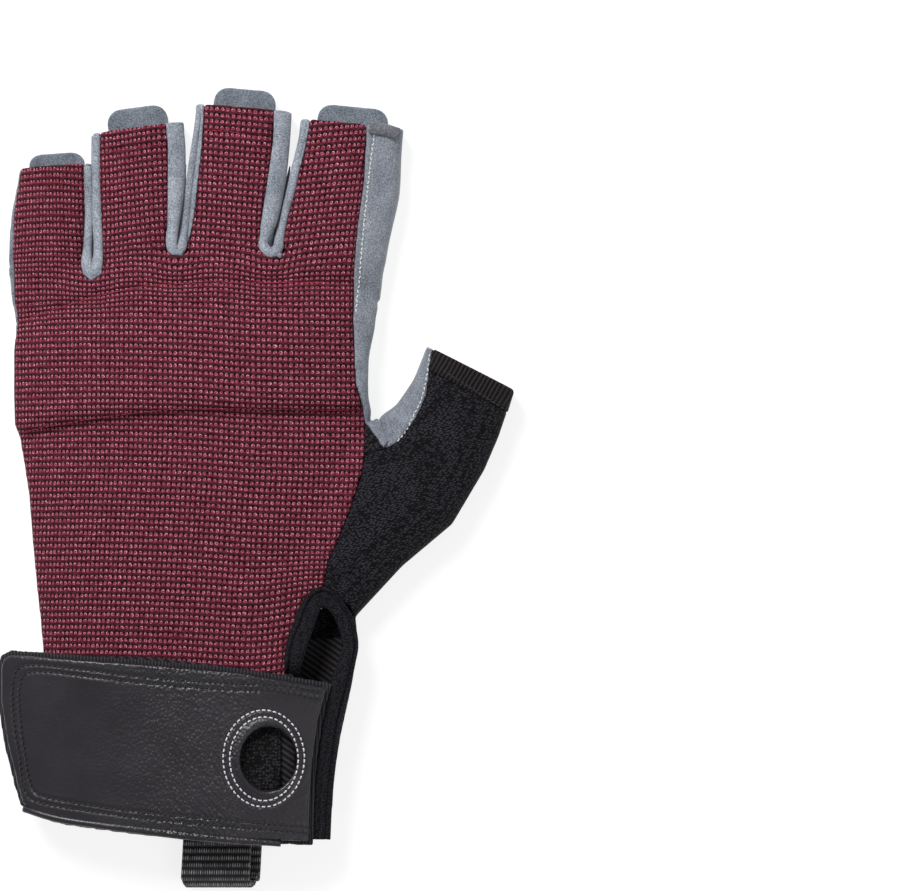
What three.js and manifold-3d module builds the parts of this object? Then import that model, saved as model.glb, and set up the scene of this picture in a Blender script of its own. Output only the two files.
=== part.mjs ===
// A half-finger climbing glove for the left hand, lying palm down with its back up.
// Fingertips point along +Y, the thumb lies on the +X side, and the origin is on the floor
// under the middle of the palm. All lengths are millimetres.
import * as THREE from 'three';
import Module from 'manifold-3d';
import { mergeVertices } from 'three/addons/utils/BufferGeometryUtils.js';

const wasm = await Module();
wasm.setup();

// Driving dimensions of the glove.
const palmWidth = 88;
const palmLength = 94.5;
const fingerLength = 38.5;
const cuffLength = 49.5;
const gloveDepth = 16;
const wall = 1.6;
const seamGap = 0.3;
const seamHeight = 6;
const floorPress = 0.4;

// Driving dimensions of what is sewn to it.
const webbingWidth = 19.5;
const webbingThickness = 1.5;
const pullReach = 23.5;
const pullEye = 5.5;
const pullHold = 8;
const tapeWidth = 10.5;
const tapeThickness = 1.2;
const tapeReach = 7.5;
const tapeEye = 2.2;
const edgeLoopWidth = 6;
const edgeLoopEye = 6;
const leatherThickness = 1.8;
const backingThickness = 1;
const backingMargin = 1.2;
const holeWidth = 14;
const holeLength = 16;
const bindingThickness = 2.6;
const tabThickness = 1.6;
const tabReach = 5.5;
const tabHold = 4;
const tabCorner = 3.5;
const tabTop = 0.72;

// Where the wrist line lies below the origin, as a share of the palm length.
const wristShare = 0.45;
const wristY = -wristShare * palmLength;
const crotchY = wristY + palmLength;
const cuffRest = webbingThickness + seamGap;

// Form of the cross sections: how round the back is, how flat the underside is, and how
// high the widest place of a tube lies, as a share of its depth.
const backRoundness = 2.4;
const undersideFlatness = 5;
const sideShare = 0.48;
const bodySides = 32;
const fingerSides = 20;
const thumbSides = 24;
const bindingSides = 10;
const farAway = 80;

// A place on the glove seen from above. Across is a share of the palm width. Along is 0 at
// the wrist, 1 at the finger crotches, 2 at the mouth of the middle finger and -1 at the
// lower end of the cuff.
function place([across, along]) {
  let y = wristY + along * palmLength;
  if (along > 1) {
    y = crotchY + (along - 1) * fingerLength;
  }
  if (along < 0) {
    y = wristY + along * cuffLength;
  }
  return new THREE.Vector2(across * palmWidth, y);
}

// The hand and the cuff, from the finger crotches down to the lower edge of the cuff. Each
// row has its left end, its right end and its depth as a share of the glove's depth. The
// two shallow rows are the folds that cross the back.
const handTable = [
  { left: [-0.506, 0.984], right: [0.551, 1.039], depth: 0.75 },
  { left: [-0.503, 0.913], right: [0.54, 0.979], depth: 0.81 },
  { left: [-0.491, 0.839], right: [0.517, 0.942], depth: 0.82 },
  { left: [-0.5, 0.767], right: [0.506, 0.868], depth: 0.94 },
  { left: [-0.5, 0.648], right: [0.5, 0.741], depth: 1 },
  { left: [-0.497, 0.569], right: [0.506, 0.64], depth: 0.97 },
  { left: [-0.484, 0.537], right: [0.514, 0.603], depth: 0.87 },
  { left: [-0.472, 0.474], right: [0.5, 0.529], depth: 0.92 },
  { left: [-0.457, 0.386], right: [0.472, 0.423], depth: 0.96 },
  { left: [-0.446, 0.257], right: [0.443, 0.291], depth: 0.97 },
  { left: [-0.433, 0.127], right: [0.46, 0.132], depth: 0.95 },
  { left: [-0.419, 0.013], right: [0.475, 0.013], depth: 0.93 },
];

// The cuff rests on the webbing that is sewn under it.
const cuffTable = [
  { left: [-0.416, 0], right: [0.477, 0], depth: 0.84 },
  { left: [-0.398, -0.217], right: [0.46, -0.217], depth: 0.86 },
  { left: [-0.378, -0.49], right: [0.426, -0.49], depth: 0.86 },
  { left: [-0.358, -0.682], right: [0.409, -0.682], depth: 0.84 },
  { left: [-0.347, -0.838], right: [0.398, -1], depth: 0.83 },
];

// The thumb, from inside the hand to its mouth. Lift raises its underside off the floor.
const thumbTable = [
  { left: [0.205, 0.212], right: [0.455, 0.048], depth: 0.86, lift: 0 },
  { left: [0.284, 0.37], right: [0.602, 0.196], depth: 0.9, lift: 0 },
  { left: [0.398, 0.497], right: [0.744, 0.307], depth: 0.9, lift: 0 },
  { left: [0.506, 0.571], right: [0.835, 0.45], depth: 0.86, lift: 0 },
  { left: [0.585, 0.619], right: [0.875, 0.537], depth: 0.82, lift: 0.01 },
  { left: [0.636, 0.688], right: [0.903, 0.614], depth: 0.79, lift: 0.03 },
  { left: [0.673, 0.775], right: [0.918, 0.659], depth: 0.77, lift: 0.06 },
];

// The fingers. Each place along a finger has its left and right edge as shares of the palm
// width. Reach is the share of the finger length, and rise is how much higher the right end
// of the mouth lies. The tab's width is a share of the mouth's, and its reach of tabReach.
const rootAlong = 0.9;
const fingerTable = [
  {
    name: 'pinky', root: [-0.489, -0.313], base: [-0.506, -0.293], middle: [-0.504, -0.281],
    mouth: [-0.483, -0.281], reach: 0.623, rise: 0.032, depth: 0.68, tabWidth: 0.8, tabReach: 0.62,
  },
  {
    name: 'ring', root: [-0.244, -0.063], base: [-0.261, -0.04], middle: [-0.27, -0.016],
    mouth: [-0.278, -0.02], reach: 0.87, rise: 0.078, depth: 0.7, tabWidth: 0.66, tabReach: 1,
  },
  {
    name: 'middle', root: [0, 0.233], base: [-0.014, 0.259], middle: [0.001, 0.277],
    mouth: [0.017, 0.287], reach: 1, rise: -0.052, depth: 0.7, tabWidth: 0.65, tabReach: 0.91,
  },
  {
    name: 'index', root: [0.276, 0.517], base: [0.276, 0.554], middle: [0.293, 0.585],
    mouth: [0.315, 0.605], reach: 0.896, rise: -0.065, depth: 0.7, tabWidth: 0.69, tabReach: 0.84,
  },
];

// The two legs of the slit's binding, from the top of the slit down. Each row has the left
// and the right edge of the binding.
const fingerSideLeg = [
  { left: [0.361, 0.135], right: [0.381, 0.143] },
  { left: [0.335, 0.116], right: [0.384, 0.09] },
  { left: [0.312, 0.069], right: [0.366, 0.037] },
  { left: [0.291, 0.011], right: [0.349, -0.025] },
  { left: [0.273, -0.081], right: [0.335, -0.111] },
  { left: [0.264, -0.13], right: [0.324, -0.158] },
];
const thumbSideLeg = [
  { left: [0.39, 0.143], right: [0.406, 0.132] },
  { left: [0.398, 0.095], right: [0.452, 0.09] },
  { left: [0.42, 0.042], right: [0.474, 0.05] },
  { left: [0.429, -0.015], right: [0.48, -0.015] },
  { left: [0.42, -0.121], right: [0.473, -0.131] },
  { left: [0.396, -0.232], right: [0.452, -0.288] },
  { left: [0.371, -0.399], right: [0.432, -0.455] },
  { left: [0.355, -0.606], right: [0.418, -0.626] },
  { left: [0.348, -0.798], right: [0.405, -0.818] },
  { left: [0.345, -1], right: [0.399, -1.01] },
];
const slitSill = 0.55;
const slitLeftBelow = [
  [0.304, -0.182],
  [0.304, -1.111],
];

// Seam lines seen from above. A region is cut by its outline above the side seam, by its
// outline below it, or by both.
const thumbSeam = [
  [0.727, 0.86],
  [0.695, 0.778],
  [0.682, 0.712],
  [0.675, 0.648],
  [0.644, 0.585],
  [0.596, 0.524],
  [0.561, 0.505],
  [0.503, 0.505],
];
const webLine = [
  [0.528, 0.566],
  [0.551, 0.624],
  [0.611, 0.754],
];
const regions = {
  cuff: {
    above: [
      [-0.65, -0.02], [-0.415, -0.025], [-0.261, -0.04], [0.014, -0.106], [0.27, -0.172],
      [0.375, -0.121], [0.44, -0.025], [0.65, 0], [0.65, -1.3], [-0.65, -1.3],
    ],
    below: [[-0.65, 0.003], [0.65, 0.003], [0.65, -1.3], [-0.65, -1.3]],
  },
  cuffTrim: {
    below: [[-0.65, -0.755], [0, -0.765], [0.65, -0.8], [0.65, -1.3], [-0.65, -1.3]],
  },
  fourchette_pinky_ring: {
    above: [
      [-0.301, 1.922], [-0.294, 1.364], [-0.305, 1], [-0.301, 0.968], [-0.277, 0.95],
      [-0.25, 0.968], [-0.249, 1.091], [-0.261, 1.474], [-0.253, 2.052],
    ],
  },
  fourchette_ring_middle: {
    above: [
      [-0.071, 2.117], [-0.06, 1.727], [-0.061, 1.338], [-0.065, 1.117], [-0.054, 1.052],
      [-0.037, 0.985], [-0.01, 0.985], [-0.003, 1.104], [0.013, 1.338], [0.033, 1.747], [0.045, 2.247],
    ],
  },
  fourchette_middle_index: {
    above: [
      [0.244, 2.182], [0.238, 1.773], [0.222, 1.474], [0.205, 1.227], [0.205, 1.078],
      [0.227, 0.985], [0.285, 0.985], [0.292, 1.078], [0.3, 1.24], [0.312, 1.552], [0.338, 1.867],
      [0.349, 2.117],
    ],
  },
  side: {
    above: [
      [0.511, 2.117], [0.496, 1.519], [0.479, 1.24], [0.468, 0.981], [0.465, 0.841],
      [0.472, 0.68], [0.492, 0.616], [0.5, 0.566], ...webLine, [0.71, 2.117],
    ],
    below: [
      [0.565, 2.117], [0.551, 1.565], [0.534, 1.364], [0.514, 1.104], [0.486, 0.984],
      [0.449, 0.939], [0.401, 0.899], [0.335, 0.862], [0.259, 0.825], [0.205, 0.799],
      [0.165, 0.762], [0.151, 0.72], [0.159, 0.656], [0.182, 0.619], [0.207, 0.606],
      [0.375, 0.606], [0.438, 0.577], [0.477, 0.55], ...webLine, [0.71, 2.117],
    ],
  },
  thumbBack: {
    above: [
      ...thumbSeam, [0.488, 0.429], [0.459, 0.349], [0.42, 0.255], [0.395, 0.212],
      [0.384, 0.132], [0.384, 0], [0.44, -0.051], [1.05, -0.051], [1.05, 0.86],
    ],
    below: [
      [0.844, 0.794], [0.832, 0.648], [0.781, 0.534], [0.73, 0.421], [0.642, 0.312],
      [0.543, 0.212], [0.412, 0.106], [0.312, 0.04], [0.247, -0.051], [1.05, -0.051], [1.05, 0.794],
    ],
  },
  palm: {
    above: [...thumbSeam, [0.503, 0.556], ...webLine, [0.639, 0.86]],
    below: [[-0.7, -0.1], [1.05, -0.1], [1.05, 2.4], [-0.7, 2.4]],
  },
  hem: {
    above: [[0.645, 0.733], [0.901, 0.606], [1.05, 0.529], [1.2, 0.69], [0.71, 0.92]],
  },
};

// The leather strap's outline without its right edge, which follows the slit's binding.
const strapOutline = [
  [0.131, -0.155], [-0.138, -0.114], [-0.46, -0.078], [-0.506, -0.076], [-0.526, -0.096],
  [-0.533, -0.136], [-0.533, -0.303], [-0.506, -0.616], [-0.504, -0.717], [-0.473, -0.823],
  [-0.443, -0.881], [-0.138, -0.947], [0.064, -0.983],
];
const strapHole = [0.227, -0.588];
const strapLeave = -0.22;
const strapDroop = 0.006;
const strapSamples = 26;
const pullAcross = 0.085;
const pullLean = THREE.MathUtils.degToRad(2);
const tapeAcross = 0.28;
const edgeLoopAcross = -0.16;

// Shared makers of closed shapes.

// Turns a three.js geometry into a solid that can be joined and cut.
function solid(geometry) {
  const bare = geometry.clone();
  bare.deleteAttribute('normal');
  bare.deleteAttribute('uv');
  const merged = mergeVertices(bare);
  return new wasm.Manifold(new wasm.Mesh({
    numProp: 3,
    vertProperties: new Float32Array(merged.attributes.position.array),
    triVerts: new Uint32Array(merged.index.array),
  }));
}

// Turns a solid back into a three.js geometry with flat shaded faces.
function geometryOf(shape) {
  const mesh = shape.getMesh();
  const geometry = new THREE.BufferGeometry();
  geometry.setAttribute('position', new THREE.BufferAttribute(new Float32Array(mesh.vertProperties), 3));
  geometry.setIndex(new THREE.BufferAttribute(new Uint32Array(mesh.triVerts), 1));
  return geometry;
}

// A cross section runs from its left end to its right end, with so much above and below
// the line between them. Inset moves the whole section inwards.
function ring(row, sides, inset) {
  const span = new THREE.Vector3().subVectors(row.right, row.left);
  const half = span.length() / 2 - inset;
  const across = span.normalize();
  const centre = new THREE.Vector3().addVectors(row.left, row.right).multiplyScalar(0.5);
  const points = [];
  for (let i = 0; i < sides; i += 1) {
    const angle = (2 * Math.PI * i) / sides;
    const c = Math.cos(angle);
    const s = Math.sin(angle);
    const power = 2 / (s >= 0 ? backRoundness : row.flatness);
    const height = s >= 0 ? row.above - inset : row.below - inset;
    const point = centre.clone();
    point.addScaledVector(across, half * Math.sign(c) * Math.abs(c) ** power);
    point.z += height * Math.sign(s) * Math.abs(s) ** power;
    points.push(point);
  }
  return points;
}

// A closed loft through the cross sections of a row table.
function loft(rows, sides, inset) {
  const positions = [];
  const faces = [];
  for (const row of rows) {
    for (const point of ring(row, sides, inset)) {
      positions.push(point.x, point.y, point.z);
    }
  }
  for (let r = 0; r + 1 < rows.length; r += 1) {
    for (let i = 0; i < sides; i += 1) {
      const a = r * sides + i;
      const b = r * sides + ((i + 1) % sides);
      faces.push(a, b, b + sides);
      faces.push(a, b + sides, a + sides);
    }
  }
  for (const [r, turn] of [[0, true], [rows.length - 1, false]]) {
    const middle = new THREE.Vector3().addVectors(rows[r].left, rows[r].right).multiplyScalar(0.5);
    const hub = positions.length / 3;
    positions.push(middle.x, middle.y, middle.z);
    for (let i = 0; i < sides; i += 1) {
      const a = r * sides + i;
      const b = r * sides + ((i + 1) % sides);
      faces.push(hub, turn ? b : a, turn ? a : b);
    }
  }
  const geometry = new THREE.BufferGeometry();
  geometry.setAttribute('position', new THREE.Float32BufferAttribute(positions, 3));
  geometry.setIndex(faces);
  const shape = solid(geometry);
  if (shape.volume() > 0) {
    return shape;
  }
  geometry.setIndex(faces.reverse());
  return solid(geometry);
}

// Moves an outline outwards by a margin, with corners kept short.
function grow(outline, margin) {
  const points = THREE.ShapeUtils.isClockWise(outline) ? [...outline].reverse() : outline;
  const count = points.length;
  return points.map((point, i) => {
    const before = new THREE.Vector2().subVectors(point, points[(i + count - 1) % count]).normalize();
    const after = new THREE.Vector2().subVectors(points[(i + 1) % count], point).normalize();
    const outBefore = new THREE.Vector2(before.y, -before.x);
    const outAfter = new THREE.Vector2(after.y, -after.x);
    const spread = Math.max(1 + outBefore.dot(outAfter), 0.5);
    return point.clone().addScaledVector(outBefore.add(outAfter), margin / spread);
  });
}

// An upright prism over an outline.
function prism(outline, low, high) {
  const geometry = new THREE.ExtrudeGeometry(new THREE.Shape(outline), {
    depth: high - low,
    bevelEnabled: false,
  });
  geometry.translate(0, 0, low);
  return solid(geometry);
}

// The space that a region takes of the shell. A region with one outline above only, such as
// a fourchette, goes through to the floor.
const throughRegions = ['fourchette_pinky_ring', 'fourchette_ring_middle', 'fourchette_middle_index', 'hem'];
function cutter(name, margin) {
  const region = regions[name];
  const shapes = [];
  if (region.above) {
    const low = throughRegions.includes(name) ? -farAway : seamHeight - margin;
    shapes.push(prism(grow(region.above.map(place), margin), low, farAway));
  }
  if (region.below) {
    shapes.push(prism(grow(region.below.map(place), margin), -farAway, seamHeight + margin));
  }
  return shapes.reduce((all, shape) => all.add(shape));
}

function cutAll(shape, cutters) {
  return cutters.reduce((left, tool) => left.subtract(tool), shape);
}

// The shell of the glove: hand, cuff, fingers and thumb as one hollow wall.

// A section of the glove in space. Low is its underside, and press lets a soft underside
// reach below the floor, where it is cut flat.
function sectionAt(left, right, low, depth, press) {
  const side = low + sideShare * depth;
  return {
    left: new THREE.Vector3(left.x, left.y, side),
    right: new THREE.Vector3(right.x, right.y, side),
    above: low + depth - side,
    below: side - low + press,
    flatness: undersideFlatness,
  };
}

function handSections(press) {
  const hand = handTable.map((row) => (
    sectionAt(place(row.left), place(row.right), 0, row.depth * gloveDepth, press)
  ));
  const cuff = cuffTable.map((row) => (
    sectionAt(place(row.left), place(row.right), cuffRest, row.depth * gloveDepth, 0)
  ));
  return [...hand, ...cuff];
}

function thumbSections(press) {
  return thumbTable.map((row) => (
    sectionAt(place(row.left), place(row.right), row.lift * gloveDepth, row.depth * gloveDepth, press)
  ));
}

function fingerSections(finger, press) {
  const middle = 1 + finger.reach / 2;
  const mouth = 1 + finger.reach;
  const rise = finger.rise / 2;
  const rows = [
    [finger.root, rootAlong, rootAlong, 0.92],
    [finger.base, 1, 1, 1.04],
    [finger.middle, middle - rise / 2, middle + rise / 2, 1.02],
    [finger.mouth, mouth - rise, mouth + rise, 1],
  ];
  return rows.map(([[left, right], leftAlong, rightAlong, fullness]) => sectionAt(
    place([left, leftAlong]), place([right, rightAlong]), 0, finger.depth * fullness * gloveDepth, press,
  ));
}

// Moves one end section of a tube along it: towards the next section, or away from it.
function moveEnd(sections, end, step) {
  const moved = sections.map((section) => ({ ...section }));
  const index = end === 'first' ? 0 : sections.length - 1;
  const next = end === 'first' ? 1 : sections.length - 2;
  const centre = (s) => new THREE.Vector3().addVectors(s.left, s.right).multiplyScalar(0.5);
  const way = new THREE.Vector3().subVectors(centre(sections[next]), centre(sections[index])).setZ(0);
  way.normalize().multiplyScalar(step);
  moved[index].left = sections[index].left.clone().add(way);
  moved[index].right = sections[index].right.clone().add(way);
  return moved;
}

// The hollow of a tube starts one wall inside its closed end and runs out of its open end.
const mouthClear = 2;
function hollow(sections, sides) {
  return loft(moveEnd(moveEnd(sections, 'first', wall), 'last', -mouthClear), sides, wall);
}

function floorBlock() {
  const geometry = new THREE.BoxGeometry(4 * palmWidth, 4 * palmLength, farAway);
  geometry.translate(0, 0, -farAway / 2);
  return solid(geometry);
}

function makeShell() {
  let outside = loft(handSections(floorPress), bodySides, 0);
  let inside = hollow(handSections(0), bodySides);
  for (const finger of fingerTable) {
    outside = outside.add(loft(fingerSections(finger, floorPress), fingerSides, 0));
    inside = inside.add(hollow(fingerSections(finger, 0), fingerSides));
  }
  outside = outside.add(loft(thumbSections(floorPress), thumbSides, 0));
  inside = inside.add(hollow(thumbSections(0), thumbSides));
  return outside.subtract(floorBlock()).subtract(inside);
}

// How high the back of the hand or cuff lies at a place, found by halving between rows.
const halvings = 24;
function backHeight(x, y) {
  const sections = handSections(0);
  const at = (v) => {
    const index = Math.min(Math.floor(v), sections.length - 2);
    const share = v - index;
    const first = sections[index];
    const second = sections[index + 1];
    return {
      left: first.left.clone().lerp(second.left, share),
      right: first.right.clone().lerp(second.right, share),
      above: THREE.MathUtils.lerp(first.above, second.above, share),
    };
  };
  let low = 0;
  let high = sections.length - 1;
  for (let i = 0; i < halvings; i += 1) {
    const middle = (low + high) / 2;
    const section = at(middle);
    const share = (x - section.left.x) / (section.right.x - section.left.x);
    const lineY = THREE.MathUtils.lerp(section.left.y, section.right.y, share);
    if (y < lineY) {
      low = middle;
    } else {
      high = middle;
    }
  }
  const section = at((low + high) / 2);
  const share = (x - section.left.x) / (section.right.x - section.left.x);
  const out = Math.min(Math.abs(2 * share - 1), 1);
  return section.left.z + section.above * (1 - out ** backRoundness) ** (1 / backRoundness);
}

// The binding of the slit follows the back of the glove on both sides of the slit.
function bindingLeg(table, margin) {
  const sections = table.map((row) => {
    const left = place(row.left);
    const right = place(row.right);
    return {
      left: new THREE.Vector3(left.x, left.y, backHeight(left.x, left.y)),
      right: new THREE.Vector3(right.x, right.y, backHeight(right.x, right.y)),
      above: bindingThickness / 2,
      below: bindingThickness / 2,
      flatness: backRoundness,
    };
  });
  return loft(moveEnd(moveEnd(sections, 'first', -margin), 'last', -margin), bindingSides, -margin);
}

// All that the slit and its binding take out of the shell.
function slitCut() {
  const outline = [
    ...fingerSideLeg.map((row) => place(row.left)),
    ...slitLeftBelow.map(place),
    ...thumbSideLeg.map((row) => place(row.right)).reverse(),
  ];
  return prism(grow(outline, seamGap), slitSill * gloveDepth, farAway)
    .add(bindingLeg(fingerSideLeg, seamGap))
    .add(bindingLeg(thumbSideLeg, seamGap));
}

// The strap lies on the cuff's back and leaves it in a straight line towards its free end.
function strapBase(x) {
  const alongs = [-0.1, -0.3, -0.5, -0.7, -0.9];
  const over = (at) => Math.max(...alongs.map((along) => backHeight(at, place([0, along]).y)));
  const leave = strapLeave * palmWidth;
  if (x >= leave) {
    return over(x);
  }
  const step = 1;
  const slope = (over(leave + step) - over(leave)) / step;
  const beyond = leave - x;
  return over(leave) - slope * beyond - strapDroop * beyond * beyond;
}

// A sheet of even thickness over the strap's arch.
function archSheet(lift, thickness) {
  const left = -0.6 * palmWidth;
  const right = 0.44 * palmWidth;
  const under = [];
  const over = [];
  for (let i = 0; i <= strapSamples; i += 1) {
    const x = THREE.MathUtils.lerp(left, right, i / strapSamples);
    const z = strapBase(x) + lift;
    under.push(new THREE.Vector2(x, z));
    over.push(new THREE.Vector2(x, z + thickness));
  }
  const geometry = new THREE.ExtrudeGeometry(new THREE.Shape([...under, ...over.reverse()]), {
    depth: 1.4 * cuffLength,
    bevelEnabled: false,
  });
  geometry.rotateX(Math.PI / 2);
  geometry.translate(0, wristY, 0);
  return solid(geometry);
}

// The strap's outline ends on the right beside the binding that holds it.
const firstStrapRow = 5;
function strapPlan() {
  const edge = thumbSideLeg.slice(firstStrapRow).map((row) => {
    const point = place(row.left);
    return new THREE.Vector2(point.x - 2 * seamGap, point.y);
  });
  return [...strapOutline.map(place), ...edge.reverse()];
}

function holePrism() {
  const centre = place(strapHole);
  const curve = new THREE.EllipseCurve(centre.x, centre.y, holeWidth / 2, holeLength / 2);
  return prism(curve.getPoints(24).slice(0, -1), -farAway, farAway);
}

function makeStrap() {
  const lift = 2 * seamGap + backingThickness;
  return cutAll(
    archSheet(lift, leatherThickness).intersect(prism(strapPlan(), 0, farAway)),
    [holePrism(), bindingLeg(thumbSideLeg, seamGap)],
  );
}

function makeBacking() {
  return cutAll(
    archSheet(seamGap, backingThickness).intersect(prism(grow(strapPlan(), backingMargin), 0, farAway)),
    [holePrism(), bindingLeg(fingerSideLeg, seamGap), bindingLeg(thumbSideLeg, seamGap)],
  );
}

// A tape folded round a loop: one ply from start to the fold, the other back to end.
const foldSteps = 10;
function tapeFold({ start, tip, end, low, high, hold, thickness }) {
  const radius = (high - low) / 2;
  const turn = tip + radius + thickness / 2;
  const line = [[start, low]];
  for (let i = 0; i <= foldSteps; i += 1) {
    const angle = -Math.PI / 2 - (Math.PI * i) / foldSteps;
    line.push([turn + radius * Math.cos(angle), low + radius + radius * Math.sin(angle)]);
  }
  line.push([end - thickness, hold], [end, hold]);
  const points = line.map(([along, up]) => new THREE.Vector2(along, up));
  const sideways = points.map((point, i) => {
    const before = points[Math.max(i - 1, 0)];
    const after = points[Math.min(i + 1, points.length - 1)];
    const way = new THREE.Vector2().subVectors(after, before).normalize();
    return new THREE.Vector2(-way.y, way.x).multiplyScalar(thickness / 2);
  });
  const outer = points.map((point, i) => point.clone().add(sideways[i]));
  const inner = points.map((point, i) => point.clone().sub(sideways[i]));
  return new THREE.Shape([...outer, ...inner.reverse()]);
}

// Cuff heights and edges that the loops are sewn to.
const cuffFloor = cuffRest + wall;
const cuffEdgeY = place([0, -0.765]).y;

function makePullStrap() {
  const low = webbingThickness / 2;
  const shape = tapeFold({
    start: wristY - webbingThickness,
    tip: cuffEdgeY - pullReach,
    end: cuffEdgeY + pullHold,
    low,
    high: low + pullEye + webbingThickness,
    hold: cuffFloor + seamGap + webbingThickness / 2,
    thickness: webbingThickness,
  });
  const geometry = new THREE.ExtrudeGeometry(shape, { depth: webbingWidth, bevelEnabled: false });
  geometry.applyMatrix4(new THREE.Matrix4().makeBasis(
    new THREE.Vector3(0, 1, 0), new THREE.Vector3(0, 0, 1), new THREE.Vector3(1, 0, 0),
  ));
  geometry.translate(-webbingWidth / 2, 0, 0);
  return geometry;
}

function makeTapeLoop() {
  const low = webbingThickness - tapeThickness / 2;
  const hold = cuffFloor + 2 * seamGap + tapeThickness / 2;
  const shape = tapeFold({
    start: cuffEdgeY + pullHold / 2,
    tip: cuffEdgeY - tapeReach,
    end: cuffEdgeY + pullHold / 2,
    low,
    high: Math.max(low + tapeEye + tapeThickness, hold),
    hold,
    thickness: tapeThickness,
  });
  const geometry = new THREE.ExtrudeGeometry(shape, { depth: tapeWidth, bevelEnabled: false });
  geometry.applyMatrix4(new THREE.Matrix4().makeBasis(
    new THREE.Vector3(0, 1, 0), new THREE.Vector3(0, 0, 1), new THREE.Vector3(1, 0, 0),
  ));
  geometry.translate(-tapeWidth / 2, 0, 0);
  return geometry;
}

function makeEdgeLoop() {
  const half = (edgeLoopEye + tapeThickness) / 2;
  const shape = tapeFold({
    start: cuffEdgeY + pullHold / 2,
    tip: cuffEdgeY - tapeReach,
    end: cuffEdgeY + pullHold / 2,
    low: -half,
    high: half,
    hold: half,
    thickness: tapeThickness,
  });
  const geometry = new THREE.ExtrudeGeometry(shape, { depth: edgeLoopWidth, bevelEnabled: false });
  geometry.applyMatrix4(new THREE.Matrix4().makeBasis(
    new THREE.Vector3(0, 1, 0), new THREE.Vector3(-1, 0, 0), new THREE.Vector3(0, 0, 1),
  ));
  geometry.translate(0, 0, cuffFloor + seamGap);
  return geometry;
}

// A pull tab follows the inside of the finger's palm side and stands out of its mouth.
const cornerSteps = 4;
function makeTab(finger) {
  const sections = fingerSections(finger, 0).slice(2);
  const beyond = moveEnd(sections, 'last', -2 * tabReach)[1];
  const tube = [...sections, beyond];
  const outset = wall + seamGap;
  const sheet = loft(tube, fingerSides, outset)
    .subtract(loft(moveEnd(moveEnd(tube, 'first', -1), 'last', -1), fingerSides, outset + tabThickness));
  const mouth = sections[1];
  const across = new THREE.Vector2(mouth.right.x - mouth.left.x, mouth.right.y - mouth.left.y);
  const half = (finger.tabWidth * across.length()) / 2;
  across.normalize();
  const out = new THREE.Vector2(-across.y, across.x);
  const centre = new THREE.Vector2(mouth.left.x + mouth.right.x, mouth.left.y + mouth.right.y);
  centre.multiplyScalar(0.5);
  const at = (side, reach) => centre.clone().addScaledVector(across, side).addScaledVector(out, reach);
  const reach = finger.tabReach * tabReach;
  const corner = Math.min(tabCorner, reach);
  const outline = [at(-half, -tabHold), at(half, -tabHold)];
  for (let i = 0; i <= cornerSteps; i += 1) {
    const angle = (Math.PI / 2) * (i / cornerSteps);
    outline.push(at(half - corner + corner * Math.cos(angle), reach - corner + corner * Math.sin(angle)));
  }
  for (let i = cornerSteps; i >= 0; i -= 1) {
    const angle = (Math.PI / 2) * (i / cornerSteps);
    outline.push(at(-half + corner - corner * Math.cos(angle), reach - corner + corner * Math.sin(angle)));
  }
  return sheet.intersect(prism(outline, 0, tabTop * seamHeight));
}

// The pieces cut from the shell. A piece that comes earlier keeps its place, and the later
// ones keep a seam gap to it.
const shell = makeShell();
const slit = slitCut();
const fourchettes = ['fourchette_pinky_ring', 'fourchette_ring_middle', 'fourchette_middle_index'];
const betweenFingers = fourchettes.map((name) => cutter(name, seamGap));
const cuffSpace = cutter('cuff', seamGap);
const sideSpace = cutter('side', seamGap);
const thumbSpace = cutter('thumbBack', seamGap);
const palmSpace = cutter('palm', seamGap);

const cuffBand = cutAll(shell.intersect(cutter('cuff', 0)), [cutter('cuffTrim', 0), slit]);
const sidePanel = cutAll(shell.intersect(cutter('side', 0)), betweenFingers);
const thumbWhole = cutAll(shell.intersect(cutter('thumbBack', 0)), [cuffSpace, sideSpace, slit]);
const thumbHem = thumbWhole.intersect(cutter('hem', 0));
const thumbBack = thumbWhole.subtract(cutter('hem', seamGap));
const earlier = [...betweenFingers, cuffSpace, sideSpace, thumbSpace];
const suedePalm = cutAll(shell.intersect(cutter('palm', 0)), earlier);
const knitBack = cutAll(shell, [...earlier, palmSpace, slit]);

// Finishes.
const finishes = {
  knit: { color: 0x75283c, roughness: 0.85, metalness: 0 },
  suede: { color: 0x8d97a1, roughness: 0.95, metalness: 0 },
  tab: { color: 0x6f7983, roughness: 0.9, metalness: 0 },
  stretch: { color: 0x1f1f22, roughness: 0.9, metalness: 0 },
  leather: { color: 0x29272a, roughness: 0.5, metalness: 0 },
  webbing: { color: 0x222225, roughness: 0.7, metalness: 0 },
};

const glove = new THREE.Group();

function addPiece(name, geometry, finish) {
  const mesh = new THREE.Mesh(geometry, new THREE.MeshStandardMaterial(finishes[finish]));
  mesh.name = name;
  glove.add(mesh);
  return mesh;
}

addPiece('knit_back', geometryOf(knitBack), 'knit');
addPiece('suede_palm', geometryOf(suedePalm), 'suede');
for (const name of fourchettes) {
  addPiece(name, geometryOf(shell.intersect(cutter(name, 0))), 'suede');
}
addPiece('index_side_panel', geometryOf(sidePanel), 'suede');
addPiece('thumb_back', geometryOf(thumbBack), 'stretch');
addPiece('thumb_hem', geometryOf(thumbHem), 'stretch');
addPiece('cuff_band', geometryOf(cuffBand), 'webbing');
addPiece('slit_binding_finger_side', geometryOf(bindingLeg(fingerSideLeg, 0)), 'stretch');
addPiece('slit_binding_thumb_side', geometryOf(bindingLeg(thumbSideLeg, 0)), 'stretch');
addPiece('wrist_strap', geometryOf(makeStrap()), 'leather');
addPiece('strap_backing', geometryOf(makeBacking()), 'stretch');
for (const finger of fingerTable) {
  addPiece(`pull_tab_${finger.name}`, geometryOf(makeTab(finger)), 'tab');
}

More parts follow.
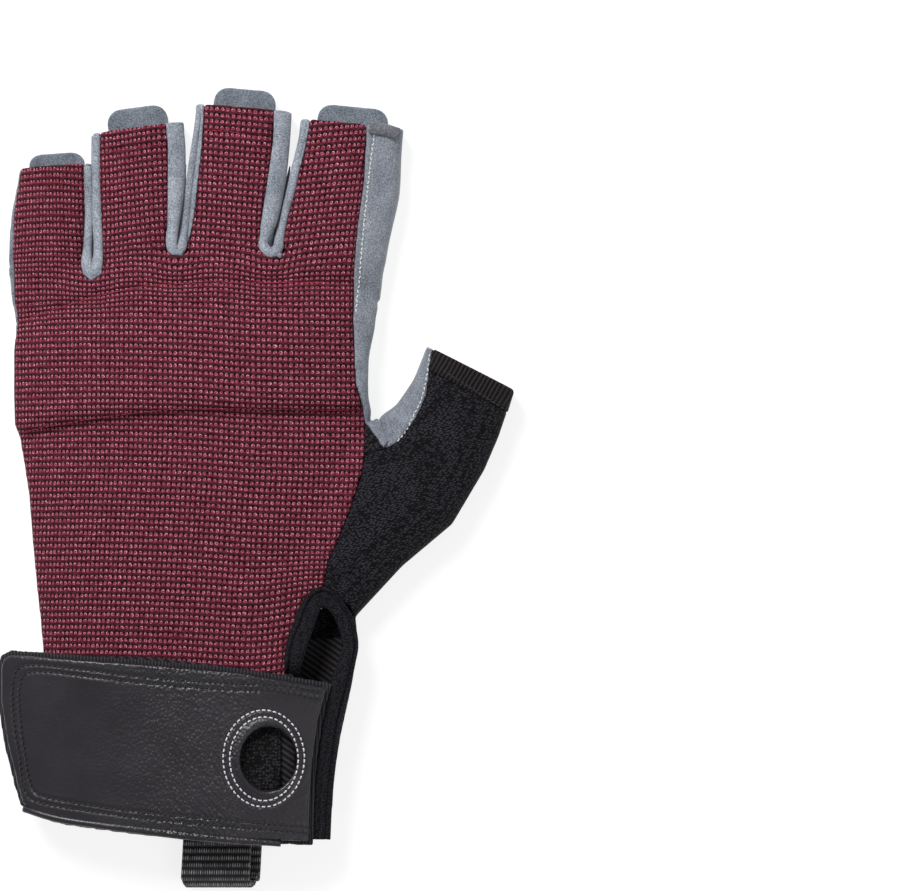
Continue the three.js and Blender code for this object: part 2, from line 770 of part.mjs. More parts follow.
const pullStrap = addPiece('pull_strap', makePullStrap(), 'webbing');
pullStrap.rotation.z = -pullLean;
const pullPivot = new THREE.Vector2(pullAcross * palmWidth, cuffEdgeY);
pullStrap.position.set(
  pullPivot.x - pullPivot.y * Math.sin(pullLean),
  pullPivot.y * (1 - Math.cos(pullLean)),
  0,
);

const tapeLoop = addPiece('hang_loop_thumb_side', makeTapeLoop(), 'webbing');
tapeLoop.position.x = tapeAcross * palmWidth;

const edgeLoop = addPiece('hang_loop_little_finger_side', makeEdgeLoop(), 'webbing');
edgeLoop.position.x = edgeLoopAcross * palmWidth;

export default glove;
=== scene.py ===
import math

import bmesh
import bpy
import numpy as np
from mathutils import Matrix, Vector
from mathutils.bvhtree import BVHTree
from mathutils.kdtree import KDTree


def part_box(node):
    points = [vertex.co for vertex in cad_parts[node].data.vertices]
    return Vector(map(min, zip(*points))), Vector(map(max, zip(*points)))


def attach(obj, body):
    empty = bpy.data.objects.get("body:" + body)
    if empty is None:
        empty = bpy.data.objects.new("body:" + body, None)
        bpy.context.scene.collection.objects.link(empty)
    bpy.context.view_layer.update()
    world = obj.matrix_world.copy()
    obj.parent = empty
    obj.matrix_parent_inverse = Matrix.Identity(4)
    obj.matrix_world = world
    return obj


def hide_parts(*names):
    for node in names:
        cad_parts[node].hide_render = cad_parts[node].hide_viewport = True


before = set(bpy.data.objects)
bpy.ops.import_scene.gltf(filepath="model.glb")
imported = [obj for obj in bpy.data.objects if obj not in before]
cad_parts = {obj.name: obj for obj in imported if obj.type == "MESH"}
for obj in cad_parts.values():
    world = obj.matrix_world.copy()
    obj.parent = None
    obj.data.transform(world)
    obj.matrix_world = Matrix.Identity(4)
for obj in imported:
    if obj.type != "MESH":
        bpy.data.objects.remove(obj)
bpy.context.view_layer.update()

MM = 0.001


# The table, the studio light and the camera. The glove lies palm down on a pale table under
# a wide soft light from the fingertip side, and is looked at from straight above.

def shade(red, green, blue):
    """A colour as it looks on a screen, turned into the amounts of light that a finish needs."""
    amounts = []
    for value in (red, green, blue):
        share = value / 255
        amounts.append(share / 12.92 if share <= 0.04045 else ((share + 0.055) / 1.055) ** 2.4)
    return (*amounts, 1.0)


def start_finish(name, roughness, **extras):
    """Starts a finish, and gives its material and ways to add a node, mix colours and end it."""
    material = bpy.data.materials.new(name)
    material.use_nodes = True
    nodes = material.node_tree.nodes
    links = material.node_tree.links
    surface = nodes["Principled BSDF"]
    surface.inputs["Roughness"].default_value = roughness
    for socket, amount in extras.items():
        surface.inputs[socket.replace("_", " ")].default_value = amount

    def add(kind, feeds, out=0, **settings):
        node = nodes.new("ShaderNode" + kind)
        for key, value in settings.items():
            setattr(node, key, value)
        for key, value in feeds.items():
            if isinstance(value, bpy.types.NodeSocket):
                links.new(value, node.inputs[key])
            else:
                node.inputs[key].default_value = value
        return node.outputs[out]

    def mix(share, low, high):
        return add("Mix", {0: share, 6: low, 7: high}, out=2, data_type="RGBA")

    def dress(tone, height=None, strength=0.0, depth=0.0, gloss=None, **settings):
        """Gives the surface its colour, and a relief whose depth is in millimetres."""
        links.new(tone, surface.inputs["Base Color"])
        if gloss is not None:
            links.new(gloss, surface.inputs["Roughness"])
        if height is not None:
            feeds = {"Strength": strength, "Distance": depth * MM, "Height": height}
            links.new(add("Bump", feeds, **settings), surface.inputs["Normal"])

    return material, add, mix, dress


white = (1.0, 1.0, 1.0, 1.0)


def lay_table():
    mesh = bpy.data.meshes.new("table_top")
    half = 2.5
    corners = [(-half, -half, 0), (half, -half, 0), (half, half, 0), (-half, half, 0)]
    mesh.from_pydata(corners, [], [(0, 1, 2, 3)])
    table = bpy.data.objects.new("table_top", mesh)
    bpy.context.scene.collection.objects.link(table)
    paper, add, mix, dress = start_finish("white_paper", 0.9, Emission_Color=white, Emission_Strength=0.8)
    spot = add("TexCoord", {}, out="Object")
    mottle = add("TexNoise", {"Vector": spot, "Scale": 40.0, "Detail": 3.0})
    dress(mix(mottle, shade(150, 150, 150), shade(154, 154, 154)))
    mesh.materials.append(paper)


def hang_light(name, place, aim, size, power):
    lamp = bpy.data.lights.new(name, "AREA")
    lamp.shape = "DISK"
    lamp.size = size
    lamp.energy = power
    light = bpy.data.objects.new(name, lamp)
    light.location = place
    light.rotation_euler = (Vector(aim) - Vector(place)).to_track_quat("-Z", "Y").to_euler()
    bpy.context.scene.collection.objects.link(light)


lay_table()
hang_light("key_light", (-0.3, 0.55, 0.7), (0, 0, 0), 0.4, 7.5)
hang_light("fill_light", (0.5, -0.45, 0.8), (0, 0, 0), 0.6, 1.2)
room = bpy.data.worlds.new("bright_room")
room.use_nodes = True
sky = room.node_tree.nodes["Background"].inputs
sky["Color"].default_value = white
sky["Strength"].default_value = 0.34
bpy.context.scene.world = room
bpy.context.scene.view_settings.view_transform = "Standard"

view_width = 225 * MM
view_middle = (65 * MM, 6.1 * MM)
view_level = 8 * MM
lens = bpy.data.cameras.new("camera")
lens.lens = 200
lens.sensor_width = 36
lens.clip_end = 20
camera = bpy.data.objects.new("camera", lens)
camera.location = (*view_middle, view_width * lens.lens / lens.sensor_width + view_level)
bpy.context.scene.collection.objects.link(camera)
bpy.context.scene.camera = camera


# The suede palm. Blue-gray brushed synthetic suede, one panel under the fingers and the palm
# that also comes up round the front of the thumb, quilted in rows over a thin padding.

most_edge_spots = 200000
sharp_angle = math.radians(38)
edge_step = 0.5
held_reach = 0.6
fade_reach = 1.6


def sewn_panel(name, node, grain, evening, rounding, puff):
    """A close net over a CAD wall, evened away from its sharp edges, rounded off and puffed out.

    The grain and the puff are in millimetres. The other two are rounds of smoothing.
    """
    panel = bpy.data.objects.new(name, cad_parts[node].data.copy())
    bpy.context.scene.collection.objects.link(panel)
    net = panel.modifiers.new("net", "REMESH")
    net.mode = "VOXEL"
    net.voxel_size = grain * MM
    mesh = settle(panel)
    edges = KDTree(most_edge_spots)
    count = 0
    shape = bmesh.new()
    shape.from_mesh(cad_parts[node].data)
    bmesh.ops.remove_doubles(shape, verts=shape.verts, dist=0.00001)
    for edge in shape.edges:
        if len(edge.link_faces) == 2 and edge.calc_face_angle() > sharp_angle:
            start, end = (v.co for v in edge.verts)
            steps = max(2, int((end - start).length / (edge_step * MM)) + 1)
            for step in range(steps):
                if count < most_edge_spots:
                    edges.insert(start.lerp(end, step / (steps - 1)), count)
                    count += 1
    shape.free()
    edges.balance()
    inside = panel.vertex_groups.new(name="inside")
    for vertex in mesh.vertices:
        distance = edges.find(vertex.co)[2] / MM
        share = min(max((distance - held_reach) / fade_reach, 0), 1)
        inside.add([vertex.index], share, "REPLACE")
    even = panel.modifiers.new("even", "SMOOTH")
    even.factor = 0.5
    even.iterations = evening
    even.vertex_group = "inside"
    round_off = panel.modifiers.new("round_off", "SMOOTH")
    round_off.factor = 0.5
    round_off.iterations = rounding
    mesh = settle(panel)
    panel.vertex_groups.clear()
    spots, normals = points_of(mesh)
    put_points(mesh, spots + normals * puff * MM)
    return panel


def settle(piece):
    """Applies a piece's modifiers to its mesh."""
    depsgraph = bpy.context.evaluated_depsgraph_get()
    mesh = bpy.data.meshes.new_from_object(piece.evaluated_get(depsgraph), preserve_all_data_layers=True,
                                           depsgraph=depsgraph)
    piece.modifiers.clear()
    piece.data = mesh
    mesh.name = piece.name
    for face in mesh.polygons:
        face.use_smooth = True
    return mesh


def points_of(mesh):
    spots = np.empty(len(mesh.vertices) * 3)
    mesh.vertices.foreach_get("co", spots)
    normals = np.empty(len(mesh.vertices) * 3)
    mesh.vertices.foreach_get("normal", normals)
    return spots.reshape(-1, 3), normals.reshape(-1, 3)


def put_points(mesh, spots):
    mesh.vertices.foreach_set("co", spots.ravel())
    mesh.update()


def distance_to_line(spots, line):
    """How far plan points lie from a line of plan points, in the same unit."""
    nearest = np.full(len(spots), 1e9)
    for (x0, y0), (x1, y1) in zip(line, line[1:]):
        run = np.array([x1 - x0, y1 - y0])
        share = ((spots[:, 0] - x0) * run[0] + (spots[:, 1] - y0) * run[1]) / max(run @ run, 1e-12)
        share = np.clip(share, 0, 1)
        gap = np.hypot(spots[:, 0] - x0 - share * run[0], spots[:, 1] - y0 - share * run[1])
        nearest = np.minimum(nearest, gap)
    return nearest


def smooth_line(points, step):
    """A smooth line through a few points, with points at even steps."""
    points = [np.array(p, float) for p in points]
    ends = [2 * points[0] - points[1], *points, 2 * points[-1] - points[-2]]
    dense = []
    for before, start, end, after in zip(ends, ends[1:], ends[2:], ends[3:]):
        for share in np.linspace(0, 1, 24, endpoint=False):
            dense.append(0.5 * (2 * start + (end - before) * share
                                + (2 * before - 5 * start + 4 * end - after) * share ** 2
                                + (3 * start - before - 3 * end + after) * share ** 3))
    dense.append(points[-1])
    dense = np.array(dense)
    lengths = np.concatenate([[0], np.cumsum(np.linalg.norm(np.diff(dense, axis=0), axis=1))])
    count = max(int(round(lengths[-1] / step)), 1) + 1
    places = np.linspace(0, lengths[-1], count)
    return np.stack([np.interp(places, lengths, dense[:, axis]) for axis in range(dense.shape[1])], axis=1)


def finish_piece(piece, material, slot, *nodes):
    """Gives a piece its finish, hangs it on the root body and hides the CAD nodes that it stands for."""
    piece.data.materials.clear()
    piece.data.materials.append(material)
    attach(piece, "root")
    if nodes:
        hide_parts(*nodes)


def suede_finish(name, light, middle, dark):
    suede, add, mix, dress = start_finish(name, 0.95, Specular_IOR_Level=0.2, Sheen_Weight=0.25,
                                          Sheen_Roughness=0.6)
    spot = add("TexCoord", {}, out="Object")
    fleck = add("TexNoise", {"Vector": spot, "Scale": 2600.0, "Detail": 3.0, "Roughness": 0.75})
    nap = add("TexNoise", {"Vector": spot, "Scale": 160.0, "Detail": 4.0, "Roughness": 0.6})
    mixed = add("Math", {0: nap, 1: 0.35, 2: fleck}, operation="MULTIPLY_ADD")
    low = add("MapRange", {0: mixed, 1: 0.48, 2: 0.66})
    high = add("MapRange", {0: mixed, 1: 0.68, 2: 0.86})
    dress(mix(high, mix(low, dark, middle), light), mixed, strength=0.55, depth=0.12)
    return suede


suede = suede_finish("blue_gray_suede", shade(190, 197, 208), shade(140, 147, 158), shade(86, 92, 101))
# The palm's suede is the same blue-gray suede in darker colours: painted shade on the palm panel and the
# front of the thumb.
palm_suede_painted_shade = suede_finish("palm_suede_painted_shade", shade(158, 165, 176), shade(117, 123, 133), shade(72, 77, 85))
quilt_lines = [
    [(15.5, 33.4), (-21.4, 36.1), (-29.3, 34.3), (-32.7, 30.0), (-33.8, 18.2), (-35.1, 6.8)],
    [(11.6, 22.6), (-17.4, 23.5), (-22.2, 22.0), (-24.0, 16.4), (-25.4, 5.9), (-25.9, 1.1), (-24.1, -2.3),
     (-2.8, -4.4), (15.9, -4.0), (26.4, -5.2), (20.6, -11.6), (14.6, -18.5), (8.8, -23.9), (2.9, -27.7),
     (-3.9, -28.0), (-16.7, -26.6), (-32.0, -23.0)],
    [(15.5, 13.8), (3.0, 10.4), (-6.3, 8.2), (-14.5, 5.8), (-3.0, 4.5), (9.2, 4.1), (23.4, 4.9), (29.3, 3.3),
     (33.3, 5.8), (39.5, 7.7), (43.3, 6.6), (45.1, 4.0), (43.7, -3.5), (40.0, -10.4), (35.1, -15.4),
     (27.6, -23.6), (20.4, -30.4), (15.3, -35.0), (9.5, -37.6), (3.0, -38.4), (-9.9, -36.9), (-24.4, -34.1),
     (-37.2, -32.4)],
    [(-37.1, 46.5), (-35.6, 50.6), (-32.5, 52.5), (-29.6, 50.8), (-28.2, 46.9)],
    [(-18.3, 48.6), (-16.6, 54.8), (-12.8, 57.7), (-9.1, 55.6), (-7.3, 50.8)],
    [(0.4, 52.6), (3.4, 58.0), (8.4, 60.6), (12.6, 58.0), (14.6, 52.4), (19.2, 48.1), (24.6, 46.3),
     (32.2, 43.9)],
    [(-28.2, 45.7), (-25.6, 43.6), (-21.6, 44.8), (-18.3, 47.8)],
    [(-7.2, 50.3), (-6.3, 49.1), (-1.9, 50.9)],
]
quilt_depth = 0.9
quilt_width = 1.2
palm_level = 4.5
palm_fade = 1.5
crotch_pulls = [(25.6, 57.0, -2.7, 0.0, 5.0, 14.0), (21.5, 50.0, 0.0, 3.1, 6.0, 5.0),
                (-2.6, 50.0, -1.1, 3.1, 5.0, 6.0)]
index_pulls = [
    (46.4, 43.0, 1.4, 0.0, 2.8, 6.0), (45.4, 36.0, 1.6, 0.0, 2.6, 5.0), (44.8, 29.0, 0.6, 0.0, 2.4, 6.0),
    (46.0, 40.3, 0.8, 0.0, 2.4, 2.2), (50.4, 70.0, 0.9, 0.0, 3.0, 9.0)
]
pinky_pulls = [(-43.5, 52.0, -0.9, 0.0, 6.0, 16.0)]
wrist_line = -38
wrist_fade = 3
wrist_lift = 0.3
low_part = 4


def pull(spots, pulls):
    """Draws points in plan towards a few seams. Each pull has a place, a move and how far it reaches."""
    plan = spots[:, :2] / MM
    moved = plan.copy()
    for x, y, move_x, move_y, reach_x, reach_y in pulls:
        share = np.exp(-((plan[:, 0] - x) / reach_x) ** 2 - ((plan[:, 1] - y) / reach_y) ** 2)
        moved += share[:, None] * np.array([move_x, move_y])
    return np.column_stack([moved * MM, spots[:, 2]])


def reach_under_cuff(spots, reach):
    """Draws a panel's wrist edge down and its lowest part up, so that the cuff covers it."""
    at_wrist = np.clip((wrist_line - spots[:, 1] / MM) / wrist_fade, 0, 1)
    spots[:, 1] -= reach * MM * at_wrist
    spots[:, 2] += wrist_lift * MM * at_wrist * (spots[:, 2] < low_part * MM)


palm = sewn_panel("suede_palm_panel", "suede_palm", grain=0.6, evening=30, rounding=3, puff=0.15)
spots = points_of(palm.data)[0]
for line in quilt_lines:
    near = distance_to_line(spots[:, :2] / MM, smooth_line(line, 1.5))
    under = np.clip((palm_level - spots[:, 2] / MM) / palm_fade, 0, 1)
    spots[:, 2] += quilt_depth * MM * np.exp(-(near / quilt_width) ** 2) * under
reach_under_cuff(spots, 1.0)
spots[:, 2] = np.maximum(spots[:, 2], 0)
put_points(palm.data, pull(spots, crotch_pulls + index_pulls + pinky_pulls))
finish_piece(palm, palm_suede_painted_shade, "suede", "suede_palm")


# The knit back. A maroon ribbed stretch knit, cut as one panel over the hand and the four
# fingers and eased across the knuckles, so that it lies in two folds.

fold_over_knuckles = [(-60, 32), (-43.3, 36.8), (-26.5, 42.3), (-10.8, 45.8), (5, 46.5), (35, 46.8), (60, 47)]
fold_over_hand = [(-60, 6), (-42.6, 9.5), (-31.3, 12), (-15, 14.4), (1.4, 15.6), (34, 15.3), (60, 15)]
row_pitch = 1.56

knit = sewn_panel("knit_back_panel", "knit_back", grain=0.56, evening=30, rounding=3, puff=0.15)
spots = pull(points_of(knit.data)[0], crotch_pulls)
x, y, z = spots[:, 0] / MM, spots[:, 1] / MM, spots[:, 2] / MM
top = np.clip((z - 7) / 4, 0, 1)
from_knuckles = y - np.interp(x, *np.array(fold_over_knuckles).T)
from_hand = y - np.interp(x, *np.array(fold_over_hand).T)
for distance, middle, reach, height in ((from_knuckles, 0, 1.4, -0.7), (from_hand, 3.2, 3.5, 0.9),
                                        (from_hand, -1.0, 1.6, -1.3)):
    z = z + height * np.exp(-((distance - middle) / reach) ** 2) * top
y = y - 0.9 * np.exp(-((from_hand - 1.2) / 2.0) ** 2) * top
for cx, cy, reach, height in ((21, -29, 8, 0.55), (25, -22, 9, -0.45)):
    from_fold = y - cy - 0.2 * (x - 20)
    z = z + height * np.exp(-(from_fold / 3.2) ** 2 - ((x - cx) / reach) ** 2) * top
finger_hems = [
    (-60, 71.0), (-42.8, 71.4), (-34.1, 71.8), (-24.6, 71.0), (-24.4, 77.6), (-17.4, 80.0), (-3, 81.6),
    (-2.8, 85.0), (9.4, 84.5), (16.8, 83.1), (24.8, 82.6), (25, 79.8), (44, 80.0), (60, 80.0)
]
from_hem = y - np.interp(x, *np.array(finger_hems).T)
z = z + 0.3 * np.clip(from_hem / 0.6, 0, 1) * top
z = z - 0.35 * np.exp(-(from_hem / 0.5) ** 2) * top
at_wrist = np.clip((-37 - y) / 7, 0, 1)
y = y - (3.0 + 1.2 * top) * at_wrist
z = z - 0.5 * at_wrist * top
put_points(knit.data, np.stack([x, y, z], axis=1) * MM)

crotches = [(-24.3, 49.0), (-3.4, 52.5), (20.2, 52.5)]
loop_places = [-46, -36, -25, -14, -2.5, 9, 20, 32, 46]
loop_widths = [0.85, 0.95, 1.12, 1.2, 1.25, 1.3, 1.36, 1.3, 1.15]
hand_slopes = [2, 1.4, 0, -1.5, -2, -5, -2, -1, 0]
finger_places = [-46, -38, -30, -23, -18, -9, -4, 2, 12, 20, 26, 34, 46]
finger_slopes = [8, 4, -4, 0, 9, 8, 0, -6, -5, -4, 6, 5, 2]


def sum_along(x, places, amounts):
    """Adds up amounts from the left, read between a few places, as far as x."""
    fine = np.linspace(places[0], places[-1], 400)
    steps = np.interp(fine, places, amounts) * (fine[1] - fine[0])
    return np.interp(x, fine, np.cumsum(steps) - np.interp(0, fine, np.cumsum(steps)))


in_fingers = np.clip((y - 46) / 12, 0, 1)
in_fingers = in_fingers ** 2 * (3 - 2 * in_fingers)
hand_rise = sum_along(x, loop_places, np.tan(np.radians(hand_slopes)))
finger_rise = sum_along(x, finger_places, np.tan(np.radians(finger_slopes)))
rise = hand_rise * (1 - in_fingers) + finger_rise * in_fingers
near_slit = np.exp(-((x - 34) / 12) ** 2) * np.clip((-19 - y) / 11, 0, 1)
rise = rise + 3.2 * near_slit
for cx, cy in crotches:
    rise = rise - 1.7 * np.exp(-((x - cx) / 6.5) ** 2 - ((y - cy + 3) / 6) ** 2)
rows = (y - rise) / row_pitch + 0.7 * np.tanh(from_knuckles / 3) + 0.5 * np.tanh(from_hand / 3)
lean = np.interp(y, [-60, -40, 0, 20, 48, 90], [-3.4, -2.2, 0, 0.3, 0, 0])
lean = lean + np.clip((y - 48) / 40, 0, 1) * np.interp(x, [-36, -12, 10, 40], [-0.4, -1.8, 1.8, 6.0])
columns = sum_along(x - lean, loop_places, 1 / np.array(loop_widths))
finger_middles = np.array([-34.0, -14.0, 9.0, 33.5])
middle = finger_middles[np.searchsorted([cx for cx, cy in crotches], x)]
narrower = 0.1 * np.clip((y - 50) / 14, 0, 1)
columns = columns + narrower * (x - middle) / np.interp(x, loop_places, loop_widths)
weave = knit.data.attributes.new("weave", "FLOAT_VECTOR", "POINT")
weave.data.foreach_set("vector", np.stack([columns, rows, np.zeros(len(rows))], axis=1).ravel())

soft_step = {"interpolation_type": "SMOOTHSTEP"}
knit_cloth, add, mix, dress = start_finish("maroon_rib_knit", 0.85, Specular_IOR_Level=0.15)
in_weave = add("Attribute", {}, out="Vector", attribute_name="weave")
spot = add("TexCoord", {}, out="Object")
wander = add("TexNoise", {"Vector": spot, "Scale": 900.0, "Detail": 2.0}, out="Color")
pushed = add("VectorMath", {0: wander, 1: (0.55, 0.34, 0.0), 2: in_weave}, operation="MULTIPLY_ADD")
in_loop = add("VectorMath", {0: pushed}, operation="FRACTION")
split = add("SeparateXYZ", {0: in_loop}).node
across = add("Math", {0: split.outputs["X"], 1: 0.5}, operation="SUBTRACT")
along = add("Math", {0: split.outputs["Y"], 1: 0.54}, operation="SUBTRACT")
wide = add("Math", {0: across, 1: 0.36}, operation="DIVIDE")
high = add("Math", {0: along, 1: 0.29}, operation="DIVIDE")
wide2 = add("Math", {0: wide, 1: wide}, operation="MULTIPLY")
radius2 = add("Math", {0: high, 1: high, 2: wide2}, operation="MULTIPLY_ADD")
radius = add("Math", {0: radius2}, operation="SQRT")
off_ring = add("Math", {0: radius, 1: 0.66}, operation="SUBTRACT")
off_ring = add("Math", {0: off_ring}, operation="ABSOLUTE")
ring = add("MapRange", {0: off_ring, 1: 0.34, 2: 0.04}, **soft_step)
dome = add("MapRange", {0: radius, 1: 1.12, 2: 0.66}, **soft_step)
hole = add("MapRange", {0: radius, 1: 0.45, 2: 0.12}, **soft_step)
from_link = add("Math", {0: along, 1: 0.16}, operation="ADD")
from_link = add("Math", {0: from_link}, operation="ABSOLUTE")
link = add("MapRange", {0: from_link, 1: 0.36, 2: 0.12}, **soft_step)
# Pockets beside and above each loop, painted near-black below: painted shade in the recesses between the
# loops.
beside = add("Math", {0: across}, operation="ABSOLUTE")
beside = add("MapRange", {0: beside, 1: 0.26, 2: 0.38}, **soft_step)
above = add("Math", {0: along, 1: 0.14}, operation="SUBTRACT")
above = add("Math", {0: above}, operation="ABSOLUTE")
above = add("MapRange", {0: above, 1: 0.32, 2: 0.12}, **soft_step)
pocket_shade = add("Math", {0: beside, 1: above}, operation="MULTIPLY")
cell = add("VectorMath", {0: pushed}, operation="FLOOR")
per_loop = add("TexWhiteNoise", {"Vector": cell})
turned = add("VectorMath", {0: per_loop.node.outputs["Color"], 1: (0.5, 0.5, 0.5)}, operation="SUBTRACT")
off_middle = add("VectorMath", {0: in_loop, 1: (0.5, 0.54, 0.0)}, operation="SUBTRACT")
to_light = add("VectorMath", {0: off_middle, 1: turned}, out="Value", operation="DOT_PRODUCT")
one_side = add("MapRange", {0: to_light, 1: -0.07, 2: 0.03, 3: 0.15, 4: 1.0})
strands = add("TexNoise", {"Vector": spot, "Scale": 2600.0, "Detail": 2.0})
broken = add("MapRange", {0: strands, 1: 0.4, 2: 0.6, 3: 0.05, 4: 1.0})
strength = add("MapRange", {0: per_loop, 1: 0.0, 2: 1.0, 3: 0.5, 4: 1.0})
glint = add("Math", {0: ring, 1: strength}, operation="MULTIPLY")
glint = add("Math", {0: glint, 1: broken}, operation="MULTIPLY")
glint = add("Math", {0: glint, 1: one_side}, operation="MULTIPLY")
# The middle of each loop is painted darker below: painted shade in the loop's hole.
depth = add("Math", {0: hole, 1: strength}, operation="MULTIPLY")
under = add("TexNoise", {"Vector": spot, "Scale": 1300.0, "Detail": 2.0})
under = add("MapRange", {0: under, 1: 0.35, 2: 0.65})
# The ground between the loops is a random tone, in dark colours that also stand for painted shade in the
# grooves between rows. The glint is a painted highlight.
ground = mix(under, shade(36, 9, 17), shade(80, 40, 49))
linked = mix(link, ground, shade(105, 33, 51))
shaded = mix(pocket_shade, linked, shade(16, 0, 5))
body = mix(dome, shaded, shade(134, 49, 69))
lit = mix(glint, body, shade(255, 176, 194))
tone = mix(depth, lit, shade(70, 10, 26))
loops = add("Math", {0: dome, 1: 0.9, 2: link}, operation="MULTIPLY_ADD")
dress(tone, loops, strength=0.7, depth=0.2)
finish_piece(knit, knit_cloth, "knit", "knit_back")


# The fourchettes. Narrow strips of the same suede between the fingers, folded at each crotch
# and rolled over along their upper edge, so that a soft loop shows where two fingers meet.

rolls = {
    "pinky_ring": [
        (-25.5, 75.8, 0.95), (-25.4, 70.8, 1.05), (-25.2, 64.0, 1.2), (-25.5, 57.5, 1.45),
        (-25.7, 53.0, 1.45), (-25.5, 50.6, 1.4), (-24.4, 49.4, 1.4), (-23.2, 50.4, 1.45),
        (-22.9, 53.0, 1.5), (-22.9, 57.5, 1.45), (-23.2, 64.0, 1.2), (-23.4, 70.8, 1.15),
        (-23.5, 77.5, 1.2), (-23.4, 83.4, 1.25)],
    "ring_middle": [
        (-3.9, 86.6, 2.38), (-3.2, 80.8, 2.33), (-3.0, 74.2, 2.1), (-3.3, 67.5, 1.8), (-4.0, 62.0, 1.5),
        (-4.4, 58.0, 1.4), (-4.4, 55.8, 1.35), (-3.3, 54.3, 1.4), (-2.1, 55.7, 1.4), (-1.9, 58.0, 1.25),
        (-1.3, 62.0, 1.15), (-0.7, 67.5, 1.0), (0.3, 74.2, 0.85), (1.2, 80.8, 0.8), (2.4, 90.6, 0.8)],
    "middle_index": [
        (23.5, 89.0, 2.0), (23.0, 80.8, 2.1), (22.1, 74.0, 2.4), (21.0, 67.5, 2.45), (19.9, 62.0, 2.0),
        (18.7, 58.0, 1.25), (18.5, 55.9, 1.25), (20.3, 54.1, 1.4), (22.0, 55.4, 1.45),
        (22.4, 58.0, 1.25), (23.6, 63.8, 1.2), (25.2, 69.5, 1.3), (26.2, 74.2, 1.15),
        (27.8, 81.2, 1.05), (28.8, 86.4, 1.05)],
}
roll_height = 1.15
roll_sink = 0.65
crotch_lift = 0.5
crotch_reach = 3.5
inner_folds = {
    "pinky_ring": [(-24.4, 53.0, 0.8), (-24.3, 60.0, 0.9), (-24.4, 75.5, 0.5)],
    "ring_middle": [(-3.2, 57.6, 0.7), (-2.9, 62.0, 0.9), (-2.0, 69.0, 0.7), (-1.2, 76.5, 0.15)],
    "middle_index": [(20.4, 58.4, 0.9), (21.2, 60.0, 1.5), (22.2, 63.0, 1.4), (23.6, 68.5, 0.9),
                     (24.9, 76.0, 0.15)],
}
fold_level = 5.4
fold_height = 1.2
high_above = 50 * MM
seam_reach = 1.2
usual_level = 10 * MM


def surface_of(*pieces):
    """What a ray from above or below meets on some pieces."""
    corners = []
    faces = []
    for piece in pieces:
        start = len(corners)
        corners += [v.co.copy() for v in piece.data.vertices]
        faces += [[start + i for i in face.vertices] for face in piece.data.polygons]
    return BVHTree.FromPolygons(corners, faces)


def meet(surface, x, y, from_above=True):
    """The place and the way out of a surface at a place on the plan in millimetres, or None."""
    start = Vector((x * MM, y * MM, high_above if from_above else -high_above))
    hit = surface.ray_cast(start, Vector((0, 0, -1 if from_above else 1)))
    return None if hit[0] is None else (hit[0], hit[1])


def highest_near(surface, x, y, reach):
    """The highest place within reach, which bridges the narrow gaps of a seam."""
    spots = [(x, y), (x - reach, y), (x + reach, y), (x, y - reach), (x, y + reach)]
    found = [hit for hit in (meet(surface, *spot) for spot in spots) if hit]
    return max(found, key=lambda hit: hit[0].z) if found else None


def new_piece(name, corners, faces):
    mesh = bpy.data.meshes.new(name)
    mesh.from_pydata(corners, [], faces)
    mesh.validate()
    for face in mesh.polygons:
        face.use_smooth = True
    piece = bpy.data.objects.new(name, mesh)
    bpy.context.scene.collection.objects.link(piece)
    return piece


def tube_faces(rings, count, start=0):
    """The faces of a tube whose rings follow one another, with both of its ends closed."""
    faces = []
    for ring in range(rings - 1):
        for s in range(count):
            a = start + ring * count + s
            b = start + ring * count + (s + 1) % count
            faces.append((a, b, b + count, a + count))
    faces.append(tuple(range(start + count - 1, start - 1, -1)))
    faces.append(tuple(range(start + (rings - 1) * count, start + rings * count)))
    return faces


def band_along(name, path, ups, halves, profile):
    """A closed soft band along a path. A profile's corner is a share of the half width and a height."""
    corners = []
    for i, point in enumerate(path):
        way = (Vector(path[min(i + 1, len(path) - 1)]) - Vector(path[max(i - 1, 0)])).normalized()
        side = way.cross(ups[i]).normalized()
        up = side.cross(way)
        for across, height in profile:
            corners.append(Vector(point) + side * across * halves[i] + up * height)
    return new_piece(name, corners, tube_faces(len(path), len(profile)))


def lay_path(surface, line, rounds):
    """Lays a plan line with widths on a surface and evens its heights and the way it faces."""
    heights = []
    ups = []
    for x, y in line[:, :2]:
        found = highest_near(surface, x, y, seam_reach)
        heights.append(found[0].z if found else (heights[-1] if heights else usual_level))
        ups.append(np.array(found[1]) if found else (ups[-1] if ups else np.array([0, 0, 1.0])))
    heights = np.array(heights)
    ups = np.array(ups)
    for _ in range(rounds):
        heights[1:-1] = (heights[:-2] + 2 * heights[1:-1] + heights[2:]) / 4
        ups[1:-1] = (ups[:-2] + 2 * ups[1:-1] + ups[2:]) / 4
    path = np.column_stack([line[:, :2] * MM, heights])
    return path, [Vector(up).normalized() for up in ups]


def round_profile(height, sides):
    angles = [2 * math.pi * s / sides for s in range(sides)]
    return [(math.cos(angle), height * math.sin(angle)) for angle in angles]


